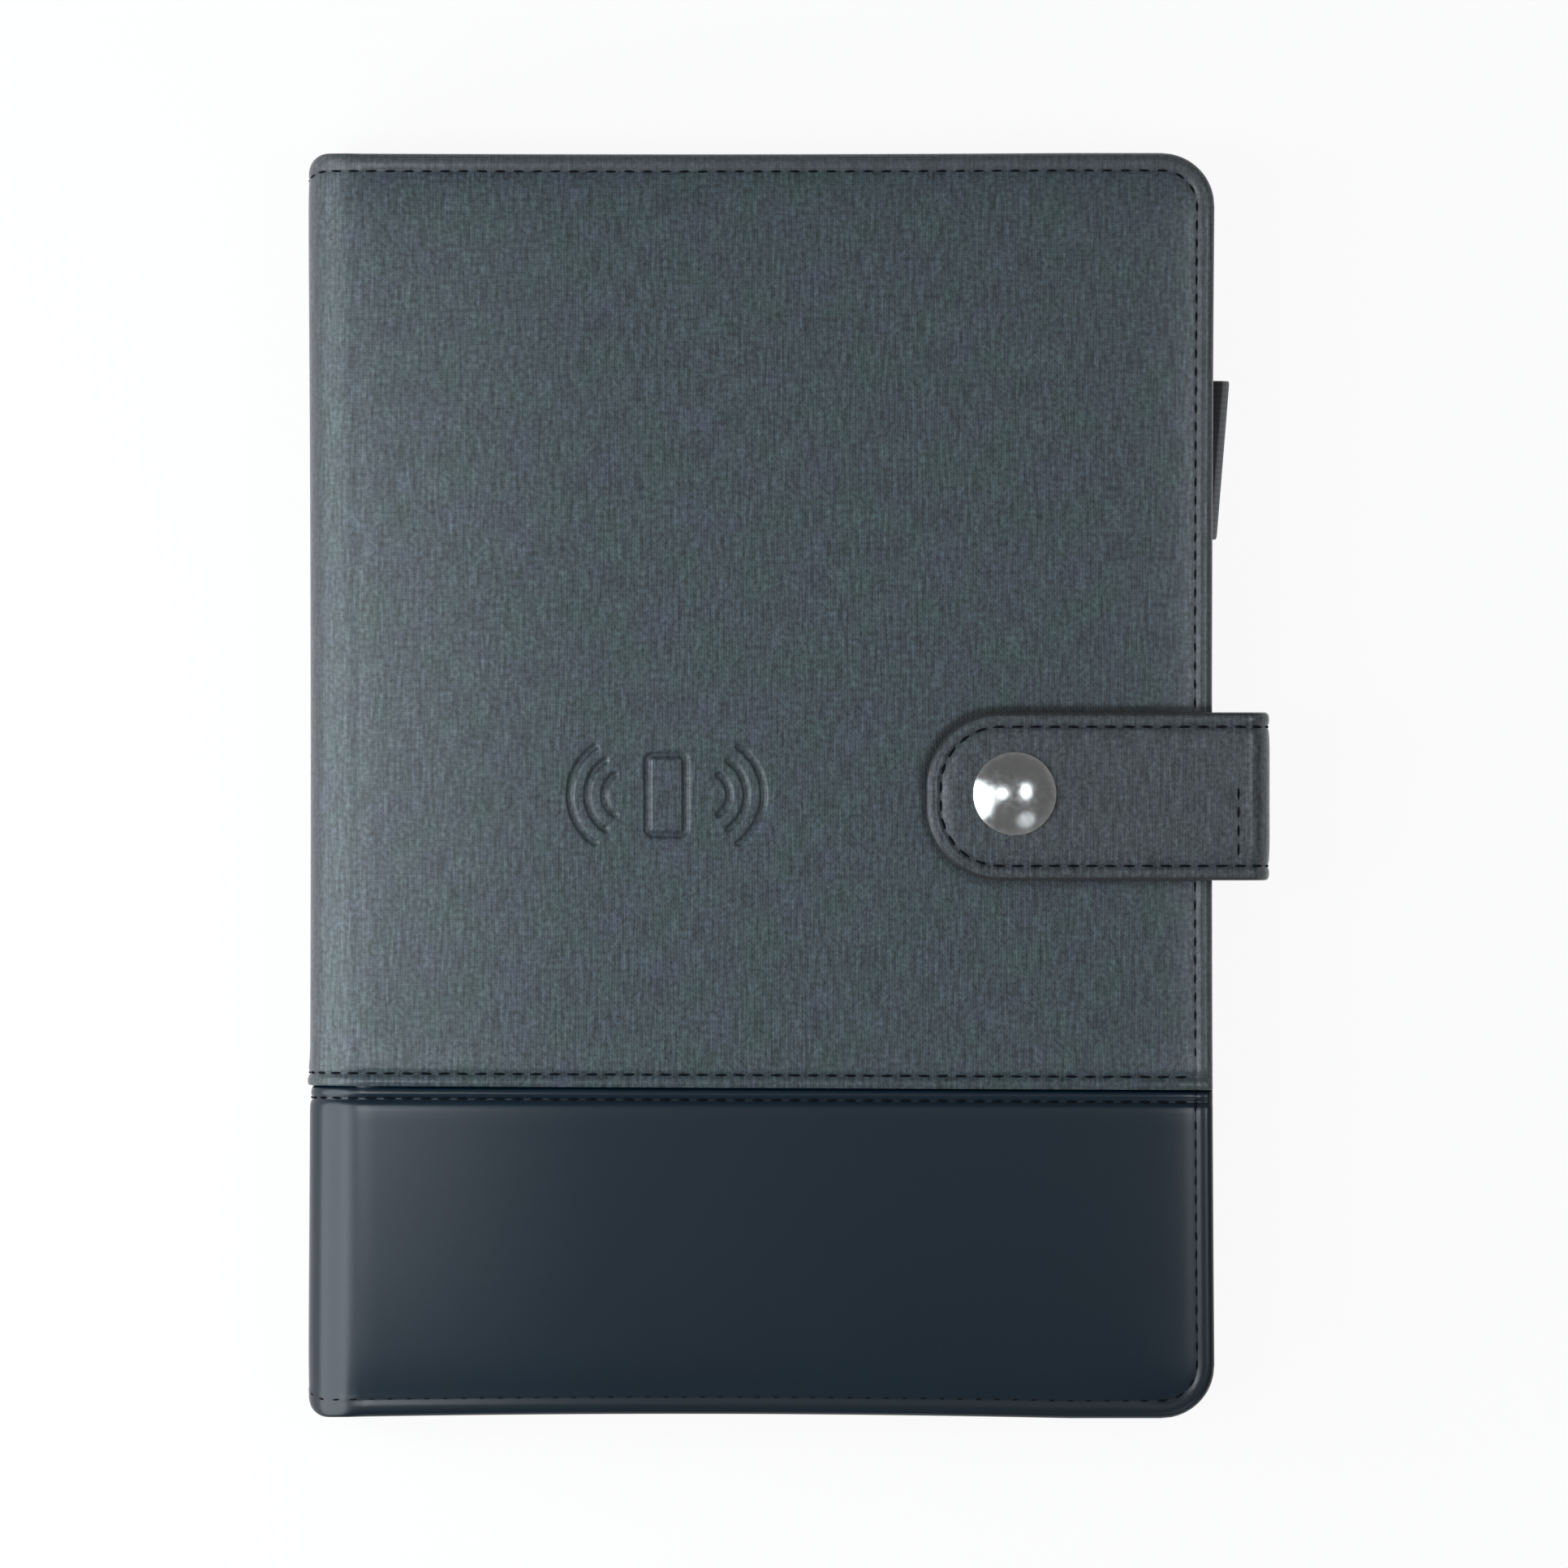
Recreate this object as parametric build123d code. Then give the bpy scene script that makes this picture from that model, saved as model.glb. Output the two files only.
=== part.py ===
from build123d import *
import math
import os

# Everything is in millimetres. The portfolio lies on its back cover on z = 0, with the spine towards -X,
# the fore-edge towards +X and the top of the page towards +Y. The origin is the centre of the back cover.

# Covers
COVER_W = 168.6
COVER_H = 235.0
CLOSED_T = 30.0
SKIN_T = 0.9
FOAM_T = 0.8
BOARD_T = 1.6
LINING_T = 0.5
SPINE_BOARD_T = 1.6
TURN_W = 1.2
LAYER_FIT = 0.1
FORE_CORNER_R = 10.0
SPINE_CORNER_R = 4.0
EDGE_R = 1.3
INNER_EDGE_R = 0.4

# Soft bends between the covers and the spine
BEND_R = 9.0
BEND_T = 1.6
CREASE_GAP = 0.3

# Smooth band along the foot of the cover, and the folded fabric edge above it
BAND_H = 61.4
FOLD_W = 3.4
FOLD_T = 0.4

# Pressed sign for a charging place: a handset between waves
SIGN_X = 66.8
SIGN_Y = 115.8
SIGN_DEPTH = 0.35
SIGN_STROKE = 1.2
SIGN_HANDSET_W = 8.3
SIGN_HANDSET_H = 16.0
SIGN_HANDSET_R = 1.8
WAVE_CENTRE = 7.1
WAVE_R = 10.9
WAVE_STEP = 3.2
WAVE_COUNT = 3
WAVE_HALF_ANGLE = 55.0

# Closing strap
STRAP_W = 31.2
STRAP_Y = 115.5
STRAP_OUT = 10.2
STRAP_REACH = 53.6
STRAP_TIP_R = 13.8
STRAP_BEND_R = 4.0
STRAP_LINING_T = 0.6
STRAP_GAP = 0.3
STRAP_EDGE_R = 0.5
TONGUE_L = 15.0

# Snap fastener
SNAP_X = 37.2
SNAP_RISE = 0.5
CAP_R = 7.7
CAP_H = 3.0
CAP_RIM_H = 0.6
CAP_SHANK_R = 3.0
SOCKET_R = 6.0
SOCKET_T = 1.2
SOCKET_BORE_R = 2.5
STUD_FLANGE_R = 5.5
STUD_FLANGE_T = 0.8
STUD_R = 2.1
STUD_RISE = 1.3
STUD_SHANK_R = 1.5
WASHER_R = 4.5
WASHER_T = 0.4
SNAP_FIT = 0.1

# Ring binder
RING_X = 15.2
RING_R = 8.0
WIRE_R = 1.1
RING_TIP_GAP = 0.1
RING_FOOT_ANGLE = 70.0
HOLE_PITCH = 19.0
HOLE_INNER = 35.0
HOLES_A_SIDE = 3
BASE_W = 20.0
BASE_END_GAP = 17.5
BASE_RISE = 5.0
BASE_T = 0.8
BASE_SLOT_EDGE = 1.6
BASE_SLOT_W = 3.6
BLADE_W = 7.3
BLADE_RIVET_GAP = 5.5
BLADE_T = 0.8
BLADE_LIFT = 0.15
BLADE_GAP = 0.3
RING_FOOT_LIFT = 0.7
RIVET_R = 1.5
RIVET_HEAD_R = 2.1
RIVET_HEAD_T = 0.7
RIVET_INSET = 7.0
RIVET_FIT = 0.1
LEVER_W = 10.0
LEVER_L = 13.0
LEVER_T = 1.0
LEVER_RISE = 2.6
LEVER_CORNER_R = 3.3
LEVER_FLAT = 2.6
LEVER_INSET = 2.0
LEVER_BARREL_R = 1.2
LEVER_LIFT = 0.2

# Loose-leaf page block
PAGE_W = 142.0
PAGE_END_GAP = 12.5
PAGES_T = 9.0
PAGE_MARGIN = 6.0
PAGE_LIFT = 0.3
PAGE_RAMP = 11.5
PAGE_SLOT_OUT = 3.6
PAGE_SLOT_IN = 4.8
PAGE_SLOT_W = 4.2
PAGE_CORNER_R = 5.0

# Pen loop at the fore-edge
LOOP_TOP_Y = 193.0
LOOP_L = 29.5
LOOP_GAP = 1.4
LOOP_OUT_TOP = 3.2
LOOP_OUT_FOOT = 0.8
LOOP_H = 10.0
LOOP_WALL = 1.2
LOOP_CORNER_R = 3.6

# Power bank inside the front cover
BANK_X = 69.3
BANK_Y = 122.5
BANK_W = 74.0
BANK_H = 146.0
BANK_T = 8.5
BANK_WALL = 1.6
BANK_FACE_T = 1.2
BANK_CORNER_R = 7.0
BANK_EDGE_R = 1.0
BANK_SPLIT = 4.0
CELL_SIDE_GAP = 4.4
CELL_T = 5.4
CELL_GAP = 2.0
CELL_TOP_GAP = 2.0
CELL_FOOT_GAP = 6.2
CELL_CORNER_R = 2.0
CIRCUIT_SIDE_GAP = 3.4
CIRCUIT_H = 20.0
CIRCUIT_T = 1.0
CIRCUIT_FOOT_GAP = 0.6
BOSS_R = 2.4
BOSS_H = 1.6
SCREW_R = 0.9
SCREW_HEAD_R = 1.7
SCREW_HEAD_T = 0.9
SCREW_FIT = 0.05
SCREW_INSET_X = 3.2
SCREW_INSET_Y = 3.2
USB_A_END_GAP = 13.0
USB_A_W = 13.2
USB_A_T = 5.6
USB_A_L = 14.0
USB_A_SHEET = 0.4
USB_A_TONGUE_T = 1.8
USB_A_TONGUE_W = 11.0
USB_A_TONGUE_L = 9.0
USB_C_X = 4.0
USB_C_W = 9.0
USB_C_T = 3.2
USB_C_L = 7.4
USB_C_SHEET = 0.35
USB_C_TONGUE_T = 0.7
USB_C_TONGUE_W = 6.0
USB_C_TONGUE_L = 4.5
PORT_FIT = 0.2
PORT_RECESS = 0.6

# Button and charge lights on the reader's side of the power bank
BUTTON_X = 20.0
BUTTON_Y = 12.0
BUTTON_W = 10.0
BUTTON_H = 5.0
BUTTON_R = 2.4
BUTTON_PROUD = 0.6
BUTTON_TRAVEL = 0.5
BUTTON_FLANGE = 0.9
BUTTON_FLANGE_T = 0.5
BUTTON_FIT = 0.25
SWITCH_W = 4.5
SWITCH_GAP = 0.15
LIGHT_R = 1.0
LIGHT_COUNT = 4
LIGHT_PITCH = 4.0
LIGHT_X = 4.0
LIGHT_FIT = 0.05

# Charging coil in a window of the front board, behind the pressed sign
COIL_R = 22.0
COIL_BORE_R = 10.0
COIL_T = 1.0
SHIELD_W = 50.0
SHIELD_CORNER_R = 3.0
SHIELD_FIT = 0.2

# Card pockets beside the power bank
POCKET_GAP = 4.0
POCKET_RIGHT = 5.0
POCKET_FOOT = 6.0
POCKET_H = 92.0
POCKET_STEP = 12.0
POCKET_T = 0.7
POCKET_CORNER_R = 3.0

# Places worked out from the sizes above
LEFT = -COVER_W / 2
RIGHT = COVER_W / 2
TOP = COVER_H / 2
FOOT = -COVER_H / 2
COVER_T = SKIN_T + FOAM_T + BOARD_T + LINING_T
BACK_BOARD_T = FOAM_T + BOARD_T
SPINE_T = SKIN_T + SPINE_BOARD_T + LINING_T
FRONT_IN = CLOSED_T - COVER_T
FRONT_SKIN_IN = CLOSED_T - SKIN_T
FRONT_BOARD_OUT = FRONT_SKIN_IN - FOAM_T
FRONT_BOARD_IN = FRONT_BOARD_OUT - BOARD_T
BEND_X = LEFT + BEND_R
BAND_Y = FOOT + BAND_H
HALF_CREASE = math.degrees(CREASE_GAP / 2 / BEND_R)

STRAP_T = BACK_BOARD_T
STRAP_MID_Y = FOOT + STRAP_Y
STRAP_X = RIGHT + STRAP_OUT
STRAP_FLAT_X = STRAP_X - STRAP_BEND_R
STRAP_TIP_X = RIGHT - STRAP_REACH
FLAP_LOW = CLOSED_T + STRAP_GAP
FLAP_TOP = FLAP_LOW + STRAP_T
STRAP_CORE_T = STRAP_T - SKIN_T - STRAP_LINING_T
HALF_STRAP_CREASE = math.degrees(CREASE_GAP / 2 / STRAP_BEND_R)

SNAP_MID_X = RIGHT - SNAP_X
SNAP_MID_Y = STRAP_MID_Y + SNAP_RISE
SIGN_MID_X = LEFT + SIGN_X
SIGN_MID_Y = FOOT + SIGN_Y

RING_MID_X = LEFT + RING_X
BASE_R = (BASE_W**2 / 4 + BASE_RISE**2) / (2 * BASE_RISE)
BASE_TOP = COVER_T + BASE_RISE
BASE_MID_Z = BASE_TOP - BASE_R
BLADE_LOW = COVER_T + BLADE_LIFT
BLADE_TOP = BLADE_LOW + BLADE_T
RING_MID_Z = BLADE_TOP + RING_FOOT_LIFT + RING_R * math.sin(math.radians(RING_FOOT_ANGLE))
RING_YS = [side * (HOLE_INNER + i * HOLE_PITCH) for side in (-1, 1) for i in range(HOLES_A_SIDE)]
BASE_L = COVER_H - 2 * BASE_END_GAP
RIVET_Y = BASE_L / 2 - RIVET_INSET
BLADE_L = 2 * (RIVET_Y - RIVET_R - BLADE_RIVET_GAP)

PAGE_H = COVER_H - 2 * PAGE_END_GAP
PAGE_X = RING_MID_X + RING_R - PAGE_MARGIN
PAGE_RAISED = BASE_TOP + RIVET_HEAD_T + PAGE_LIFT
PAGE_FLAT = COVER_T + PAGE_LIFT
PAGE_RAMP_X = RING_MID_X + BASE_W / 2 + PAGE_LIFT

BANK_MID_X = LEFT + BANK_X
BANK_MID_Y = FOOT + BANK_Y
BANK_FOOT = BANK_MID_Y - BANK_H / 2
BANK_FACE = FRONT_IN - BANK_T
BANK_ROOF = FRONT_IN - BANK_FACE_T
BANK_FLOOR = BANK_FACE + BANK_FACE_T
BANK_JOIN = FRONT_IN - BANK_SPLIT
CIRCUIT_TOP = BANK_ROOF - BOSS_H
CIRCUIT_LOW = CIRCUIT_TOP - CIRCUIT_T
CIRCUIT_W = BANK_W - 2 * (BANK_WALL + CIRCUIT_SIDE_GAP)
CIRCUIT_FOOT = BANK_FOOT + BANK_WALL + CIRCUIT_FOOT_GAP
CELL_W = BANK_W - 2 * (BANK_WALL + CELL_SIDE_GAP)
CELLS_TOP = BANK_FOOT + BANK_H - BANK_WALL - CELL_TOP_GAP
CELLS_FOOT = CIRCUIT_FOOT + CIRCUIT_H + CELL_FOOT_GAP
CELL_H = (CELLS_TOP - CELLS_FOOT - CELL_GAP) / 2
USB_A_X = USB_A_END_GAP - CIRCUIT_W / 2
PORT_FACE_Y = BANK_FOOT + PORT_RECESS


def block(x0, x1, y0, y1, z0, z1):
    """A box between two corners."""
    middle = Pos((x0 + x1) / 2, (y0 + y1) / 2, (z0 + z1) / 2)
    return middle * Box(x1 - x0, y1 - y0, z1 - z0)


def disc(x, y, z0, z1, radius):
    """An upright cylinder between two heights."""
    return Pos(x, y, (z0 + z1) / 2) * Cylinder(radius, z1 - z0)


def rounded_block(x, y, width, height, z0, z1, radius):
    """A plate with four rounded corners, centred on x, y."""
    return extrude(Pos(x, y, z0) * RectangleRounded(width, height, radius), z1 - z0)


def prism(points, y0, y1):
    """A straight bar along Y, whose section is a polygon of x, z points."""
    corners = [(x, y0, z) for x, z in points]
    return extrude(make_face(Polyline(*corners, close=True)), y1 - y0, dir=(0, 1, 0))


def bend_strip(mid_x, mid_z, outer_r, inner_r, start, end, y0, y1):
    """A bent strip along Y: part of a ring about a line through mid_x, mid_z, between two angles from +X to +Z."""

    def spot(radius, angle):
        turn = math.radians(angle)
        return (mid_x + radius * math.cos(turn), y0, mid_z + radius * math.sin(turn))

    middle = (start + end) / 2
    outer = ThreePointArc(spot(outer_r, start), spot(outer_r, middle), spot(outer_r, end))
    inner = ThreePointArc(spot(inner_r, end), spot(inner_r, middle), spot(inner_r, start))
    sides = [Line(outer @ 1, inner @ 0), Line(inner @ 1, outer @ 0)]
    return extrude(make_face([outer, inner] + sides), y1 - y0, dir=(0, 1, 0))


def across(shape, height):
    """The mirror image of a shape in the level plane at a height."""
    return mirror(shape, about=Plane.XY.offset(height))


def fore_plate(x0, x1, y0, y1, z0, z1, radius):
    """A plate whose two corners at the fore-edge are rounded."""
    plate = block(x0, x1, y0, y1, z0, z1)
    return fillet(plate.edges().filter_by(Axis.Z).group_by(Axis.X)[-1], radius)


def cover_outline():
    """A tall block with the closed portfolio's outline, rounded at the spine's corners."""
    tall = block(LEFT - FOLD_T, RIGHT, FOOT, TOP, -FOLD_T, CLOSED_T + FOLD_T)
    return fillet(tall.edges().filter_by(Axis.Z).group_by(Axis.X)[0], SPINE_CORNER_R)


def bend_part(mid_z, start, end):
    """One half of a soft bend, as long as the cover is high, with its two outer ends rounded."""
    strip = bend_strip(BEND_X, mid_z, BEND_R, BEND_R - BEND_T, start, end, FOOT, TOP)
    arcs = strip.edges().filter_by(GeomType.CIRCLE)
    outer = [edge for edge in arcs if abs(edge.radius - BEND_R) < CREASE_GAP / 2]
    return fillet(outer, EDGE_R)


def cover_shell():
    """The front cover's skin in one piece: a flat cup that holds the inner layers, and its half of the bend."""
    plate = fore_plate(BEND_X, RIGHT, FOOT, TOP, FRONT_IN, CLOSED_T, FORE_CORNER_R)
    for side, radius in ((-1, EDGE_R), (0, INNER_EDGE_R)):
        rim = plate.faces().sort_by(Axis.Z)[side].edges()
        open_edges = [edge for edge in rim if edge.center().X > BEND_X + radius]
        plate = fillet(open_edges, radius)
    cup = plate - pocket_plate(FRONT_IN, FRONT_SKIN_IN, 0)
    return (cup + bend_part(CLOSED_T - BEND_R, 90, 135 - HALF_CREASE)) & cover_outline()


def pocket_plate(z0, z1, clearance):
    """A layer inside a cover, inside the turned edge by a clearance."""
    inset = TURN_W + clearance
    return fore_plate(BEND_X + inset, RIGHT - inset, FOOT + inset, TOP - inset, z0, z1, FORE_CORNER_R - inset)


def above_band(shape):
    """The part of a cover's skin that is fabric."""
    return shape & block(LEFT - BEND_R, RIGHT + BEND_R, BAND_Y, TOP, -BEND_R, CLOSED_T + BEND_R)


def below_band(shape):
    """The part of a cover's skin that is the smooth band."""
    return shape & block(LEFT - BEND_R, RIGHT + BEND_R, FOOT, BAND_Y, -BEND_R, CLOSED_T + BEND_R)


def fold_bend(mid_z, start, end):
    """The folded fabric edge where it runs round a bend."""
    return bend_strip(BEND_X, mid_z, BEND_R + FOLD_T, BEND_R, start, end, BAND_Y, BAND_Y + FOLD_W)


def sign_cut():
    """The pressed sign as a shallow cutter: a handset's outline, and waves to each side of it."""
    stroke = SIGN_STROKE
    outer = RectangleRounded(SIGN_HANDSET_W, SIGN_HANDSET_H, SIGN_HANDSET_R)
    inner = RectangleRounded(SIGN_HANDSET_W - 2 * stroke, SIGN_HANDSET_H - 2 * stroke, SIGN_HANDSET_R / 2)
    lines = outer - inner
    for side, facing in ((-1, 180.0), (1, 0.0)):
        for i in range(WAVE_COUNT):
            radius = WAVE_R - i * WAVE_STEP
            start = facing - WAVE_HALF_ANGLE
            arc = CenterArc((side * WAVE_CENTRE, 0), radius, start, 2 * WAVE_HALF_ANGLE)
            lines += trace(arc, line_width=stroke)
    return extrude(Pos(SIGN_MID_X, SIGN_MID_Y, CLOSED_T - SIGN_DEPTH) * lines, 2 * SIGN_DEPTH)


def front_cover():
    """Skin, padding, board and lining of the front cover, with the stud half of the snap."""
    shell = cover_shell()
    fold = block(BEND_X, RIGHT - EDGE_R, BAND_Y, BAND_Y + FOLD_W, CLOSED_T, CLOSED_T + FOLD_T)
    fold += fold_bend(CLOSED_T - BEND_R, 90, 135 - HALF_CREASE)
    flange_low = CLOSED_T - STUD_FLANGE_T
    flange_seat = disc(SNAP_MID_X, SNAP_MID_Y, flange_low, CLOSED_T, STUD_FLANGE_R + SNAP_FIT)
    shank_hole = disc(SNAP_MID_X, SNAP_MID_Y, FRONT_IN, CLOSED_T, STUD_SHANK_R + SNAP_FIT)
    washer_seat = disc(SNAP_MID_X, SNAP_MID_Y, FRONT_BOARD_IN, FRONT_BOARD_IN + WASHER_T, WASHER_R + SNAP_FIT)
    window_w = SHIELD_W + 2 * SHIELD_FIT
    window = rounded_block(
        SIGN_MID_X, SIGN_MID_Y, window_w, window_w, FRONT_BOARD_IN, FRONT_BOARD_OUT, SHIELD_CORNER_R
    )
    fabric = above_band(shell) + fold - sign_cut() - flange_seat - shank_hole
    foam = pocket_plate(FRONT_BOARD_OUT, FRONT_SKIN_IN, LAYER_FIT) - shank_hole
    board = pocket_plate(FRONT_BOARD_IN, FRONT_BOARD_OUT, LAYER_FIT) - shank_hole - washer_seat - window
    return {
        "front_fabric_panel": fabric,
        "front_band_panel": below_band(shell),
        "front_foam_pad": foam,
        "front_board": board,
        "front_lining": pocket_plate(FRONT_IN, FRONT_BOARD_IN, LAYER_FIT),
        "snap_stud": disc(SNAP_MID_X, SNAP_MID_Y, flange_low, CLOSED_T, STUD_FLANGE_R)
        + disc(SNAP_MID_X, SNAP_MID_Y, CLOSED_T, CLOSED_T + STUD_RISE, STUD_R)
        + disc(SNAP_MID_X, SNAP_MID_Y, FRONT_BOARD_IN, flange_low, STUD_SHANK_R),
        "stud_washer": disc(SNAP_MID_X, SNAP_MID_Y, FRONT_BOARD_IN, FRONT_BOARD_IN + WASHER_T, WASHER_R)
        - disc(SNAP_MID_X, SNAP_MID_Y, FRONT_BOARD_IN, CLOSED_T, STUD_SHANK_R + SNAP_FIT),
    }


def spine():
    """Skin, board and lining of the spine, with its halves of both bends."""
    z0 = BEND_R
    z1 = CLOSED_T - BEND_R
    plate = block(LEFT, LEFT + SPINE_T, FOOT, TOP, z0, z1)
    plate = fillet(plate.edges().filter_by(Axis.Z).group_by(Axis.X)[0], EDGE_R)
    cup = plate - block(LEFT + SKIN_T, LEFT + SPINE_T, FOOT + TURN_W, TOP - TURN_W, z0 + TURN_W, z1 - TURN_W)
    cup += bend_part(CLOSED_T - BEND_R, 135 + HALF_CREASE, 180)
    cup += bend_part(BEND_R, 180, 225 - HALF_CREASE)
    cup = cup & cover_outline()
    fold = block(LEFT - FOLD_T, LEFT, BAND_Y, BAND_Y + FOLD_W, z0, z1)
    fold += fold_bend(CLOSED_T - BEND_R, 135 + HALF_CREASE, 180)
    inset = TURN_W + LAYER_FIT
    board_x = LEFT + SKIN_T
    lining_x = board_x + SPINE_BOARD_T
    return {
        "spine_fabric_panel": above_band(cup) + fold,
        "spine_band_panel": below_band(cup),
        "spine_board": block(board_x, lining_x, FOOT + inset, TOP - inset, z0 + inset, z1 - inset),
        "spine_lining": block(lining_x, LEFT + SPINE_T, FOOT + inset, TOP - inset, z0 + inset, z1 - inset),
    }


def back_cover():
    """Skin, board and lining of the back cover, which holds the strap's tongue."""
    shell = across(cover_shell(), CLOSED_T / 2)
    half_w = STRAP_W / 2 + LAYER_FIT
    tongue_room = block(
        RIGHT - TONGUE_L - LAYER_FIT, STRAP_X, STRAP_MID_Y - half_w, STRAP_MID_Y + half_w, SKIN_T, SKIN_T + STRAP_T
    )
    rivet_holes = [disc(RING_MID_X, y, SKIN_T, COVER_T, RIVET_R + RIVET_FIT) for y in (-RIVET_Y, RIVET_Y)]
    board = pocket_plate(SKIN_T, SKIN_T + BACK_BOARD_T, LAYER_FIT)
    lining = pocket_plate(COVER_T - LINING_T, COVER_T, LAYER_FIT)
    return {
        "back_fabric_panel": above_band(shell) - tongue_room,
        "back_band_panel": below_band(shell),
        "back_board": board - tongue_room - rivet_holes,
        "back_lining": lining - rivet_holes,
    }


def strap_edges(y_inset):
    """The strap's two long edges, in Y."""
    return STRAP_MID_Y - STRAP_W / 2 + y_inset, STRAP_MID_Y + STRAP_W / 2 - y_inset


def strap_bend(mid_z, start, end):
    """Half of one of the strap's two bends."""
    y0, y1 = strap_edges(0)
    return bend_strip(STRAP_FLAT_X, mid_z, STRAP_BEND_R, STRAP_BEND_R - STRAP_T, start, end, y0, y1)


def flap_plate(z0, z1, inset, end_x):
    """A layer of the strap's flap, round at its tip."""
    y0, y1 = strap_edges(inset)
    plate = block(STRAP_TIP_X + inset, end_x, y0, y1, z0, z1)
    return fillet(plate.edges().filter_by(Axis.Z).group_by(Axis.X)[0], STRAP_TIP_R - inset)


def strap():
    """The closing strap: tongue and lower bend, upright wrap, and the flap with its layers and the snap."""
    y0, y1 = strap_edges(0)
    low_mid = SKIN_T + STRAP_BEND_R
    top_mid = FLAP_TOP - STRAP_BEND_R
    crease = HALF_STRAP_CREASE
    anchor = block(RIGHT - TONGUE_L, STRAP_FLAT_X, y0, y1, SKIN_T, SKIN_T + STRAP_T)
    anchor += strap_bend(low_mid, 270, 315 - crease)
    wrap = block(STRAP_X - STRAP_T, STRAP_X, y0, y1, low_mid, top_mid)
    wrap += strap_bend(low_mid, 315 + crease, 360) + strap_bend(top_mid, 0, 45 - crease)

    outer = flap_plate(FLAP_LOW, FLAP_TOP, 0, STRAP_FLAT_X)
    rim = outer.faces().sort_by(Axis.Z)[-1].edges()
    outer = fillet([edge for edge in rim if edge.center().X < STRAP_FLAT_X - STRAP_EDGE_R], STRAP_EDGE_R)
    lining_top = FLAP_LOW + STRAP_LINING_T
    core_top = lining_top + STRAP_CORE_T
    inset = TURN_W + LAYER_FIT
    inner_x = STRAP_FLAT_X - inset
    shank_hole = disc(SNAP_MID_X, SNAP_MID_Y, FLAP_LOW, FLAP_TOP, CAP_SHANK_R + SNAP_FIT)
    socket_seat = disc(SNAP_MID_X, SNAP_MID_Y, FLAP_LOW, FLAP_LOW + SOCKET_T, SOCKET_R + SNAP_FIT)
    flap = outer - flap_plate(FLAP_LOW, core_top, TURN_W, STRAP_FLAT_X - TURN_W)
    flap = flap + strap_bend(top_mid, 45 + crease, 90) - shank_hole
    core = flap_plate(lining_top, core_top, inset, inner_x) - shank_hole - socket_seat
    lining = flap_plate(FLAP_LOW, lining_top, inset, inner_x) - socket_seat
    return {
        "strap_anchor": anchor,
        "strap_wrap": wrap,
        "strap_flap_fabric": flap,
        "strap_flap_core": core,
        "strap_flap_lining": lining,
    }


def snap_cap():
    """The domed cap on the strap, whose shank goes through to the socket."""
    dome_h = CAP_H - CAP_RIM_H
    dome_r = (CAP_R**2 + dome_h**2) / (2 * dome_h)
    rim_top = FLAP_TOP + CAP_RIM_H
    ball = Pos(SNAP_MID_X, SNAP_MID_Y, FLAP_TOP + CAP_H - dome_r) * Sphere(dome_r)
    dome = ball & disc(SNAP_MID_X, SNAP_MID_Y, rim_top, FLAP_TOP + CAP_H, CAP_R)
    rim = disc(SNAP_MID_X, SNAP_MID_Y, FLAP_TOP, rim_top, CAP_R)
    return dome + rim + disc(SNAP_MID_X, SNAP_MID_Y, FLAP_LOW + SOCKET_T, FLAP_TOP, CAP_SHANK_R)


def snap_socket():
    """The socket ring under the strap, clinched to the cap's shank."""
    ring = disc(SNAP_MID_X, SNAP_MID_Y, FLAP_LOW, FLAP_LOW + SOCKET_T, SOCKET_R)
    return ring - disc(SNAP_MID_X, SNAP_MID_Y, FLAP_LOW, FLAP_LOW + SOCKET_T, SOCKET_BORE_R)


def ring_base():
    """The arched steel cover of the ring binder, slotted where the rings come through."""
    half_w = BASE_W / 2
    arch = disc_along_y(RING_MID_X, BASE_MID_Z, BASE_R, -BASE_L / 2, BASE_L / 2)
    arch -= disc_along_y(RING_MID_X, BASE_MID_Z, BASE_R - BASE_T, -BASE_L / 2, BASE_L / 2)
    arch = arch & block(RING_MID_X - half_w, RING_MID_X + half_w, -BASE_L / 2, BASE_L / 2, COVER_T, BASE_TOP)
    for y in RING_YS:
        for x0, x1 in ((-half_w + BASE_T, -BASE_SLOT_EDGE), (BASE_SLOT_EDGE, half_w - BASE_T)):
            y0 = y - BASE_SLOT_W / 2
            arch -= block(RING_MID_X + x0, RING_MID_X + x1, y0, y0 + BASE_SLOT_W, COVER_T, BASE_TOP)
    for y in (-RIVET_Y, RIVET_Y):
        arch -= disc(RING_MID_X, y, COVER_T, BASE_TOP, RIVET_R + RIVET_FIT)
    return arch


def disc_along_y(x, z, radius, y0, y1):
    """A cylinder along Y."""
    return Pos(x, (y0 + y1) / 2, z) * Rot(90, 0, 0) * Cylinder(radius, y1 - y0)


def base_rivets():
    """Two rivets that hold the ring binder to the back board."""
    rivets = []
    for y in (-RIVET_Y, RIVET_Y):
        shank = disc(RING_MID_X, y, SKIN_T, BASE_TOP, RIVET_R)
        head = disc(RING_MID_X, y, BASE_TOP, BASE_TOP + RIVET_HEAD_T, RIVET_HEAD_R)
        rivets.append(shank + head)
    return Compound(rivets)


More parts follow.
